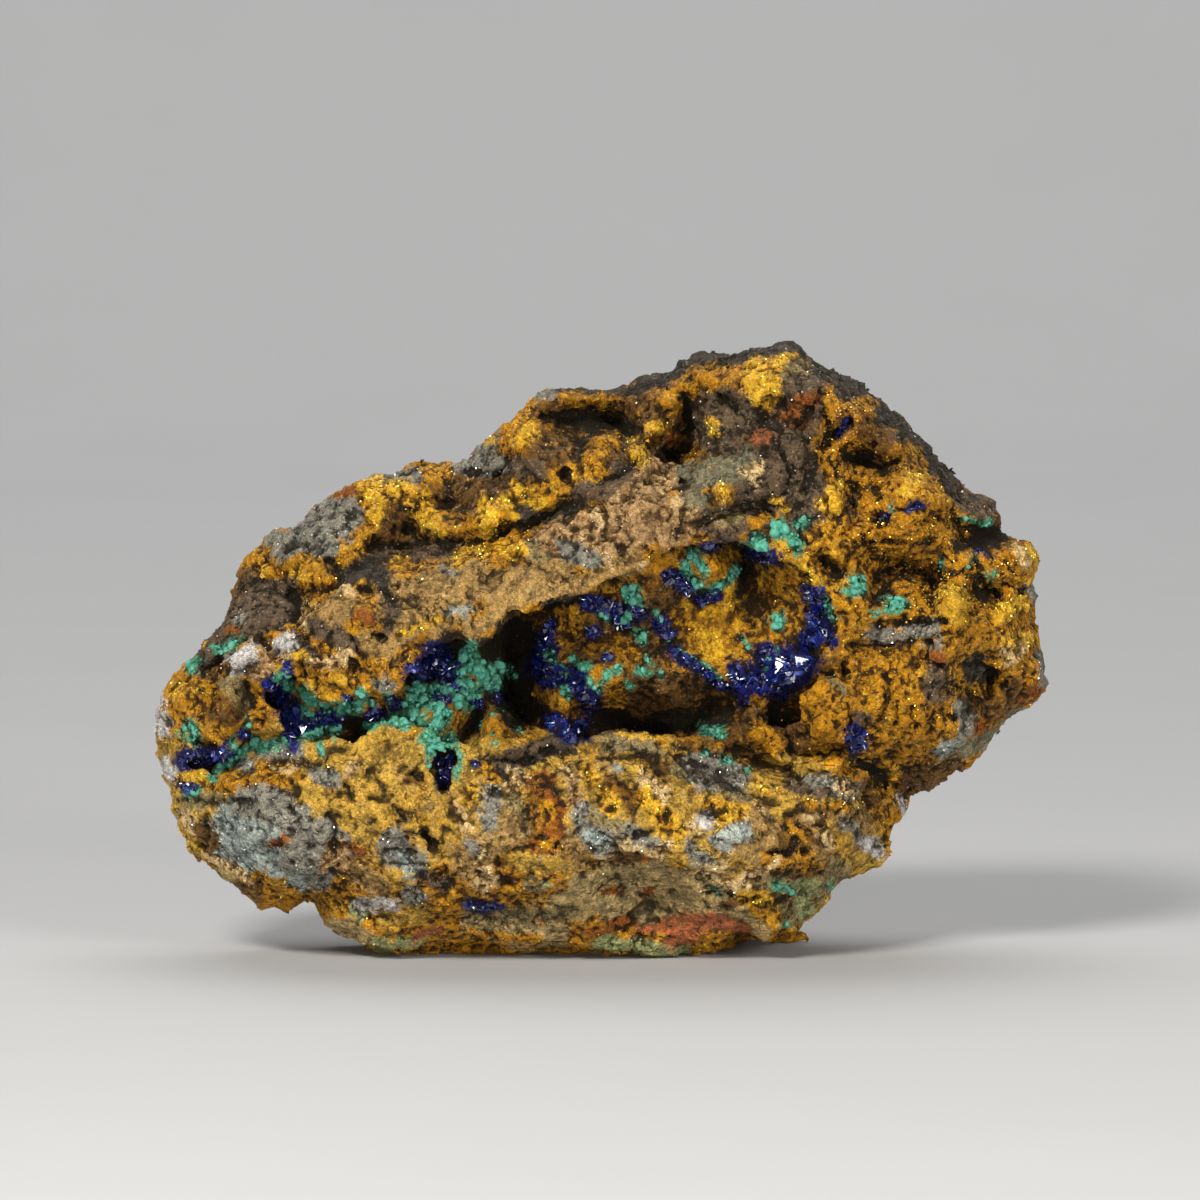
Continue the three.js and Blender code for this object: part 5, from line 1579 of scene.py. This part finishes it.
def spread(shapes, pos, R, scale):         # shapes: list of (verts, tris); picks one for each place
    vs, ts, n = [], [], 0
    pick = rng.integers(len(shapes), size=len(pos))
    owner = []
    for k, (bv, bt) in enumerate(shapes):
        s = np.where(pick == k)[0]
        if not len(s):
            continue
        v = np.einsum("nij,nvj->nvi", R[s], bv[None] * scale[s][:, None, :]) + pos[s][:, None]
        vs.append(v.reshape(-1, 3))
        ts.append((bt[None] + (np.arange(len(s)) * len(bv))[:, None, None] + n).reshape(-1, 3))
        owner.append(np.repeat(s, len(bv)))
        n += len(s) * len(bv)
    return np.concatenate(vs), np.concatenate(ts), np.concatenate(owner)


def hull(points):
    import bmesh
    bm = bmesh.new()
    for p in points:
        bm.verts.new(p)
    bmesh.ops.convex_hull(bm, input=bm.verts[:])
    loose = [v for v in bm.verts if not v.link_faces]
    bmesh.ops.delete(bm, geom=loose, context="VERTS")
    bmesh.ops.triangulate(bm, faces=bm.faces[:])
    bmesh.ops.recalc_face_normals(bm, faces=bm.faces[:])
    bm.verts.index_update()
    v = np.array([v.co[:] for v in bm.verts])
    t = np.array([[l.index for l in f.verts] for f in bm.faces])
    bm.free()
    return v, t


def blade(slim, tip, skew):                # a flattened prism with a chisel end
    w, d = 0.5, 0.5 * slim
    base = [(-w, -d * .6, -.5), (w, -d * .6, -.5), (w, d * .6, -.5), (-w, d * .6, -.5), (-w * 1.05, 0, -.4), (w * 1.05, 0, -.4)]
    mid = [(-w, -d, tip), (w * .9, -d, tip - .05), (w * .9, d, tip - .05 + skew * .2), (-w, d, tip + skew * .2), (-w * 1.12, 0, tip - .08), (w * 1.08, 0, tip - .1)]
    top = [(-w * .55, -d * .25, 1.0), (w * .35, -d * .25, 1.0 + skew * .15), (w * .35, d * .3, .97), (-w * .5, d * .3, .95)]
    return hull(base + mid + top)


def lump(points, seed, squash=1.0):
    r = np.random.default_rng(seed)
    p = r.normal(size=(points, 3))
    p /= np.linalg.norm(p, axis=1)[:, None]
    p *= (0.8 + 0.35 * r.random(points))[:, None]
    p[:, 2] *= squash
    return hull(p)


def globe(level):
    import bmesh
    bm = bmesh.new()
    bmesh.ops.create_icosphere(bm, subdivisions=level, radius=1)
    bm.verts.index_update()
    v = np.array([v.co[:] for v in bm.verts])
    t = np.array([[l.index for l in f.verts] for f in bm.faces])
    bm.free()
    return v, t


def azurite_material():
    t = Tree("azurite_crystal")
    _, tone, shine, _ = t.split("tint")
    n = t.noise(2.2, 3, 0.6)
    col = t.mix(t.span(t.math("ADD", n, t.math("MULTIPLY", tone, 0.5)), 0.55, 1.0), (0.0022, 0.0032, 0.030), (0.007, 0.016, 0.170))
    col = t.mix(t.span(tone, 0.88, 0.98, 0.0, 0.6), col, (0.03, 0.08, 0.34))
    scratch = t.noise(7.0, 2, 0.6)
    return t.done(Base_Color=col, Roughness=t.span(shine, 0.0, 1.0, 0.06, 0.28), Specular_IOR_Level=0.75, IOR=1.75,
                  Normal=t.bump(scratch, 0.00002, 0.5))


def malachite_material():
    t = Tree("malachite_crust")
    _, tone, up, _ = t.split("tint")
    big, small = t.noise(1.1, 5, 0.6), t.noise(4.0, 5, 0.68)
    f = t.math("ADD", t.math("MULTIPLY", big, 0.5), t.math("MULTIPLY", small, 0.5))
    f = t.math("ADD", f, t.math("MULTIPLY", t.math("SUBTRACT", tone, 0.5), 0.22))
    col = t.mix(t.span(f, 0.36, 0.64), (0.016, 0.165, 0.112), (0.070, 0.395, 0.270))
    col = t.mix(t.span(small, 0.58, 0.78, 0.0, 0.7), col, (0.24, 0.66, 0.50))
    # up is the hollowness between lobes (the tint's second channel): near-black green in the hollows is painted shade
    col = t.mix(t.span(up, 0.60, 1.0, 0.0, 0.92), col, (0.003, 0.040, 0.036))
    # paler on the bulging tops: painted light
    col = t.mix(t.span(up, 0.45, 0.10, 0.0, 0.45), col, (0.22, 0.62, 0.45))
    stain = t.span(t.noise(1.6, 4, 0.6), 0.64, 0.72, 0.0, 0.8)
    col = t.mix(stain, col, (0.16, 0.11, 0.03))
    b = t.bump(t.math("ADD", t.noise(3.6, 5, 0.7), t.math("MULTIPLY", t.voronoi(5.5), -0.7)), 0.00022, 0.9)
    return t.done(Base_Color=col, Roughness=0.62, Normal=b, Specular_IOR_Level=0.35)


def quartz_material():
    t = Tree("quartz_chip")
    _, tone, _, _ = t.split("tint")
    n = t.noise(1.4, 4, 0.6)
    col = t.mix(t.span(n, 0.35, 0.65), (0.62, 0.59, 0.57), (0.46, 0.40, 0.36))
    col = t.mix(t.span(t.noise(2.6, 4, 0.6), 0.56, 0.70, 0.0, 0.6), col, (0.42, 0.26, 0.10))
    col = t.mix(t.span(tone, 0.7, 0.9, 0.0, 0.5), col, (0.55, 0.63, 0.70))
    b = t.bump(t.noise(3.0, 5, 0.65), 0.00015, 0.6)
    return t.done(Base_Color=col, Roughness=0.28, Normal=b, Transmission_Weight=0.15, Specular_IOR_Level=0.5)


MATS = {"azurite": azurite_material(), "malachite": malachite_material(), "quartz": quartz_material()}
pieces = []


def finish_piece(name, v, tr, tint, kind, smooth, nodes):
    v[:, 2] = np.maximum(v[:, 2], 0.02)
    ob = mesh_object(name, v, tr, smooth, {"tint": tint})
    ob.data.materials.append(MATS[kind])
    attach(ob, "root")
    for node in nodes:
        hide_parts(node)
    pieces.append((name, len(tr)))
    return ob


toward = -view
BLADES = [blade(0.42, .55, .6), blade(0.30, .65, -.5), blade(0.55, .45, .3), blade(0.36, .35, -.8), lump(9, 3, 0.8)]
for name, text in AZURITE.items():
    pts = cluster_points(text, 14.0)
    pos, nor, size = np.array([p[0] for p in pts]), np.array([p[1] for p in pts]), np.array([p[2] for p in pts])
    n = len(pos)
    axis = nor * 0.8 + 0.75 * rng.normal(size=(n, 3)) + 0.25 * toward
    R = frames(axis, rng.random(n) * 6.28)
    length = size * (0.28 + 0.60 * rng.random(n) ** 1.8)
    scale = np.stack([length * (0.55 + 0.4 * rng.random(n)), length * (0.55 + 0.4 * rng.random(n)), length * (0.75 + 0.5 * rng.random(n))], 1)
    v, tr, who = spread(BLADES, pos - nor * 0.05, R, scale)
    tone, shine = rng.random(n), rng.random(n)
    finish_piece(name + "_crystals", v, tr, np.stack([tone[who], shine[who], tone[who]], 1), "azurite", False,
                 [name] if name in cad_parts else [])



def crust_points(text, much, lo, hi, rise):
    """Centres and radii of rounded lobes over the strokes of one crust."""
    out = []
    for part in text.split(";"):
        bits = part.split()
        size, radius, path = float(bits[0]), float(bits[1]), numbers(" ".join(bits[2:]))
        legs = [path[i + 1] - path[i] for i in range(len(path) - 1)]
        area = 2 * radius * sum(np.hypot(*l) for l in legs) + 3.14 * radius ** 2
        for _ in range(max(2, int(much * area / (size * size)))):
            t = rng.random() * len(legs)
            i = min(int(t), len(legs) - 1)
            c = path[i] + legs[i] * (t - i)
            r, a = radius * math.sqrt(rng.random()), rng.random() * 6.2832
            h = hit(c[0] + r * math.cos(a), c[1] + r * math.sin(a))
            if h is not None:
                w = size / UNIT * (lo + (hi - lo) * rng.random())
                out.append(np.concatenate([h[0] + h[1] * (w * 0.15 + rise * size / UNIT * rng.random()), [w], h[1]]))
    return np.array(out)


def crust(text, h=0.15):
    """Lobes grown together into one closed skin."""
    L = np.concatenate([crust_points(text, 1.5, 0.26, 0.56, 0.1), crust_points(text, 5.0, 0.10, 0.24, 0.45)])
    lo = (L[:, :3] - L[:, 3:4] * 1.2).min(0) - 3 * h
    hi = (L[:, :3] + L[:, 3:4] * 1.2).max(0) + 3 * h
    dims = np.ceil((hi - lo) / h).astype(int) + 1
    F, who = np.full(dims, 0.6, f32), np.zeros(dims, np.int32)
    for k, (x, y, z, r, nx, ny, nz) in enumerate(L):
        c = np.array([x, y, z])
        a = np.maximum(((c - r * 1.2 - lo) / h).astype(int) - 2, 0)
        b = np.minimum(((c + r * 1.2 - lo) / h).astype(int) + 4, dims)
        g = np.stack(np.meshgrid(*[lo[m] + h * np.arange(a[m], b[m]) - c[m] for m in range(3)], indexing="ij"), -1)
        up = g @ np.array([nx, ny, nz])
        d = np.sqrt((g * g).sum(-1) + 0.55 * up * up) - r          # flatter along the way it grows
        win = tuple(slice(a[m], b[m]) for m in range(3))
        old = F[win]
        who[win] = np.where(d < old, k, who[win])
        hh = np.maximum(0, 0.06 - np.abs(d - old))
        F[win] = np.minimum(d, old) - hh * hh / 0.24
    near = np.argwhere(np.abs(F) < 0.32)
    at = near * h + lo
    F[tuple(near.T)] += 0.11 * noise(at, 0.62, 311) + 0.08 * np.abs(noise(at, 0.33, 312))
    F[0] = F[-1] = 1
    F[:, 0] = F[:, -1] = 1
    F[:, :, 0] = F[:, :, -1] = 1
    V, Q = surface_nets(F.astype(float), lo, h)
    T = np.concatenate([Q[:, [0, 1, 2]], Q[:, [0, 2, 3]]])
    N, _ = normals(V, T)
    sm, c = V, 0
    for k in range(1, 9):
        sm = average(V, T, sm)
        if k in (1, 3, 8):
            c = c + ((sm - V) * N).sum(1) * {1: 3.0, 3: 2.0, 8: 1.0}[k]
    tone = np.random.default_rng(5).random(len(L))
    cell = np.clip(np.rint((V - lo) / h).astype(int), 0, dims - 1)
    V = V + 0.25 * (average(V, T, V) - V)
    # the second channel is how far each point lies in a hollow between lobes; the malachite shader paints shade and
    # light from it
    return V, T, np.stack([tone[who[tuple(cell.T)]], np.clip(0.5 + 1.6 * c, 0, 1), tone[who[tuple(cell.T)]]], 1)


for name, text in MALACHITE.items():
    v, tr, tint = crust(text)
    finish_piece(name + "_crust", v, tr, tint, "malachite", True, [name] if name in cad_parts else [])

CHIPS = [lump(10, 11, 0.8), lump(12, 12, 0.7), lump(9, 13, 0.9)]
for name, text in QUARTZ.items():
    pts = cluster_points(text, 1.1)
    pos, nor, size = np.array([p[0] for p in pts]), np.array([p[1] for p in pts]), np.array([p[2] for p in pts])
    n = len(pos)
    R = frames(nor + 0.4 * rng.normal(size=(n, 3)), rng.random(n) * 6.28)
    r = size * (0.24 + 0.56 * rng.random(n) ** 2)
    scale = np.stack([r, r * (0.6 + 0.4 * rng.random(n)), r * 0.6], 1)
    pos = pos - nor * (0.25 * r)[:, None]
    v, tr, who = spread(CHIPS, pos, R, scale)
    tone = rng.random(n) * (1.0 if name in ("quartz_druse", "quartz_lower_left") else 0.6)
    finish_piece(name + "_chips", v, tr, np.stack([tone[who], tone[who], tone[who]], 1), "quartz", False, [name])

# ------------------------------------------------------------------ crumbs and flakes
fn = np.cross(V[T[:, 1]] - V[T[:, 0]], V[T[:, 2]] - V[T[:, 0]])
area_of = np.linalg.norm(fn, axis=1) / 2
fn /= 2 * area_of[:, None] + 1e-12
middle = V[T].mean(1)
tri_grain = grain_amt[T].mean(1)
seen = ((fn @ view) < 0.15) & (middle[:, 1] < 9)
milky = own[:, NAMES.index("quartz")]
want_all = area_of * (0.25 + tri_grain) * (crystal[T].mean(1) < 0.35) * (middle[:, 2] > 0.5) * (1 - 0.85 * milky[T].mean(1))
want = want_all * np.where(seen, 1.0, 0.10)
CRUMBS = [lump(7, 40 + k, 0.7 + 0.05 * k) for k in range(8)]
print("crumb faces", [len(c[1]) for c in CRUMBS])
split_at = {"crumbs_left": middle[:, 0] < -14, "crumbs_middle": (middle[:, 0] >= -14) & (middle[:, 0] < 15), "crumbs_right": middle[:, 0] >= 15, "crumbs_back": ~seen}
for name, part in split_at.items():
    w = np.where(part, want_all if name == "crumbs_back" else want, 0)
    n = 13000 if name == "crumbs_back" else min(int(16500 * w.sum() / (want.sum() / 3)), 19000)
    t = np.sort(rng.choice(len(T), n, p=w / w.sum()))
    u, v = rng.random(n), rng.random(n)
    flip = u + v > 1
    u, v = np.where(flip, 1 - u, u), np.where(flip, 1 - v, v)
    a, b, c = T[t].T
    pos = V[a] + (V[b] - V[a]) * u[:, None] + (V[c] - V[a]) * v[:, None]
    size = 0.08 + 0.24 * rng.random(n) ** 3.0 * (0.4 + 0.6 * tri_grain[t])
    size = np.where(seen[t], size, size * 1.7)
    R = frames(fn[t] + 0.5 * rng.normal(size=(n, 3)), rng.random(n) * 6.28)
    scale = np.stack([size * (0.8 + 0.6 * rng.random(n)), size * (0.8 + 0.4 * rng.random(n)), size * (0.6 + 0.5 * rng.random(n))], 1)
    gv, gt, owner = spread(CRUMBS, pos - fn[t] * (size * 0.35)[:, None], R, scale)
    gv[:, 2] = np.maximum(gv[:, 2], 0.02)
    light = np.exp(0.22 * rng.normal(size=n))[:, None]
    mixed = rng.random(n)[:, None]
    ca, cb = col_a[a] * light, (col_b[a] * (1 - 0.5 * mixed) + col_a[a] * 0.5 * mixed) * light
    # the third channel is lowered by 0.1, so crumbs get less painted shade from their hollows
    sf = np.stack([np.clip(rough[a] - 0.1 * rng.random(n), 0, 1), spark[a], np.clip(cavity[a] - 0.10, 0, 1)], 1)
    ob = mesh_object(name, gv, gt, False, {"col_a": ca[owner], "col_b": cb[owner], "col_c": ca[owner], "col_d": cb[owner], "surf": sf[owner]})
    ob.data.materials.append(ROCK)
    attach(ob, "root")
    pieces.append((name, len(gt)))

# small bright cleavage faces that catch the main light
KEY_AT = np.array([-240.0, -520.0, 460.0]) - CENTRING
want = area_of * seen * (spark[T].mean(1) ** 2) * (crystal[T].mean(1) < 0.3)
n = 3000
t = rng.choice(len(T), n, p=want / want.sum())
pos = middle[t]
to_key, to_eye = KEY_AT - pos, EYE - pos
half = to_key / np.linalg.norm(to_key, axis=1)[:, None] + to_eye / np.linalg.norm(to_eye, axis=1)[:, None]
half = half / np.linalg.norm(half, axis=1)[:, None] + 0.20 * rng.normal(size=(n, 3))
size = 0.045 + 0.10 * rng.random(n) ** 2
plate_ = hull([(-.8, -.5, 0), (.2, -.8, 0), (.9, -.1, 0), (.5, .7, 0), (-.6, .6, 0), (0, 0, -0.5)])
gv, gt, owner = spread([plate_], pos + fn[t] * 0.07, frames(half, rng.random(n) * 6.28), size[:, None] * np.array([[1.0, 0.8, 0.7]]))
tone = rng.random(n)
gv[:, 2] = np.maximum(gv[:, 2], 0.02)
ob = mesh_object("cleavage_glints", gv, gt, False, {"col_a": np.clip(col_a[T[t, 0]] * 1.9, 0, 0.9)[owner]})
flake_tree = Tree("cleavage_face")
ca_, _, _, _ = flake_tree.split("col_a")
ob.data.materials.append(flake_tree.done(Base_Color=ca_, Roughness=flake_tree.span(flake_tree.noise(6.0, 2, 0.5), 0.3, 0.7, 0.22, 0.42), Metallic=0.45, Specular_IOR_Level=0.6, IOR=1.6))
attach(ob, "root")
pieces.append(("cleavage_glints", len(gt)))

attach(rock_ob, "root")
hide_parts("matrix")
print(pieces, 'total', sum(p[1] for p in pieces) + len(T))

# ------------------------------------------------------------------ stage, light, camera
def stage_material(name, color, rough):
    t = Tree(name)
    n = t.noise(0.02, 3, 0.5)
    return t.done(Base_Color=t.mix(t.span(n, 0.3, 0.7), color, tuple(c * 0.985 for c in color)), Roughness=rough, Specular_IOR_Level=0.2)


def sweep():                               # floor that curves up into a backdrop
    prof = [(-1.6, 0.0), (0.9, 0.0)]
    for k in range(1, 13):
        a = k / 12 * math.pi / 2
        prof.append((0.9 + 0.5 * math.sin(a), 0.5 - 0.5 * math.cos(a)))
    prof.append((1.4, 2.4))
    me = bpy.data.meshes.new("backdrop")
    vs = [(x, y, z) for y, z in prof for x in (-2.2, 2.2)]
    fs = [(2 * i, 2 * i + 1, 2 * i + 3, 2 * i + 2) for i in range(len(prof) - 1)]
    me.from_pydata(vs, [], fs)
    for p in me.polygons:
        p.use_smooth = True
    ob = bpy.data.objects.new("backdrop", me)
    bpy.context.scene.collection.objects.link(ob)
    ob.data.materials.append(stage_material("backdrop_paper", (0.50, 0.50, 0.50), 0.85))


sweep()
scene = bpy.context.scene
world = bpy.data.worlds.new("studio")
world.use_nodes = True
world.node_tree.nodes["Background"].inputs[0].default_value = (0.9, 0.95, 1.0, 1)
world.node_tree.nodes["Background"].inputs[1].default_value = 0.035
scene.world = world
scene.view_settings.view_transform = "Standard"


def area(name, loc, aim, size, power, color=(1, 1, 1)):
    li = bpy.data.lights.new(name, "AREA")
    li.shape, li.size, li.size_y = "RECTANGLE", size[0], size[1]
    li.energy, li.color = power, color
    ob = bpy.data.objects.new(name, li)
    ob.location = loc
    ob.rotation_euler = (Vector(aim) - Vector(loc)).to_track_quat("-Z", "Y").to_euler()
    scene.collection.objects.link(ob)
    return ob


area("key", (-0.24, -0.52, 0.46), (0, 0, 0.035), (0.20, 0.14), 4.6, (1.0, 0.98, 0.94))
area("second", (0.40, -0.56, 0.26), (0, 0, 0.03), (0.18, 0.16), 2.1, (1.0, 0.98, 0.95))
area("low", (-0.05, -0.75, 0.05), (0, 0, 0.02), (0.30, 0.10), 1.75)
area("overhead", (0.0, 0.75, 1.3), (0, 0.7, 0.0), (1.6, 1.2), 16)

cam = bpy.data.cameras.new("camera")
cam.sensor_width = 36
cam.lens = 36 * SIGHT / (1200 / UNIT)
cam.clip_start, cam.clip_end = 0.05, 20
co = bpy.data.objects.new("camera", cam)
look = np.array([-1 / UNIT, 0, LOOK_Z]) + CENTRING
eye = EYE + CENTRING + [-1 / UNIT, 0, 0]
co.location = Vector(eye / 1000)
co.rotation_euler = Vector((look - eye) / 1000).to_track_quat("-Z", "Y").to_euler()
scene.collection.objects.link(co)
scene.camera = co
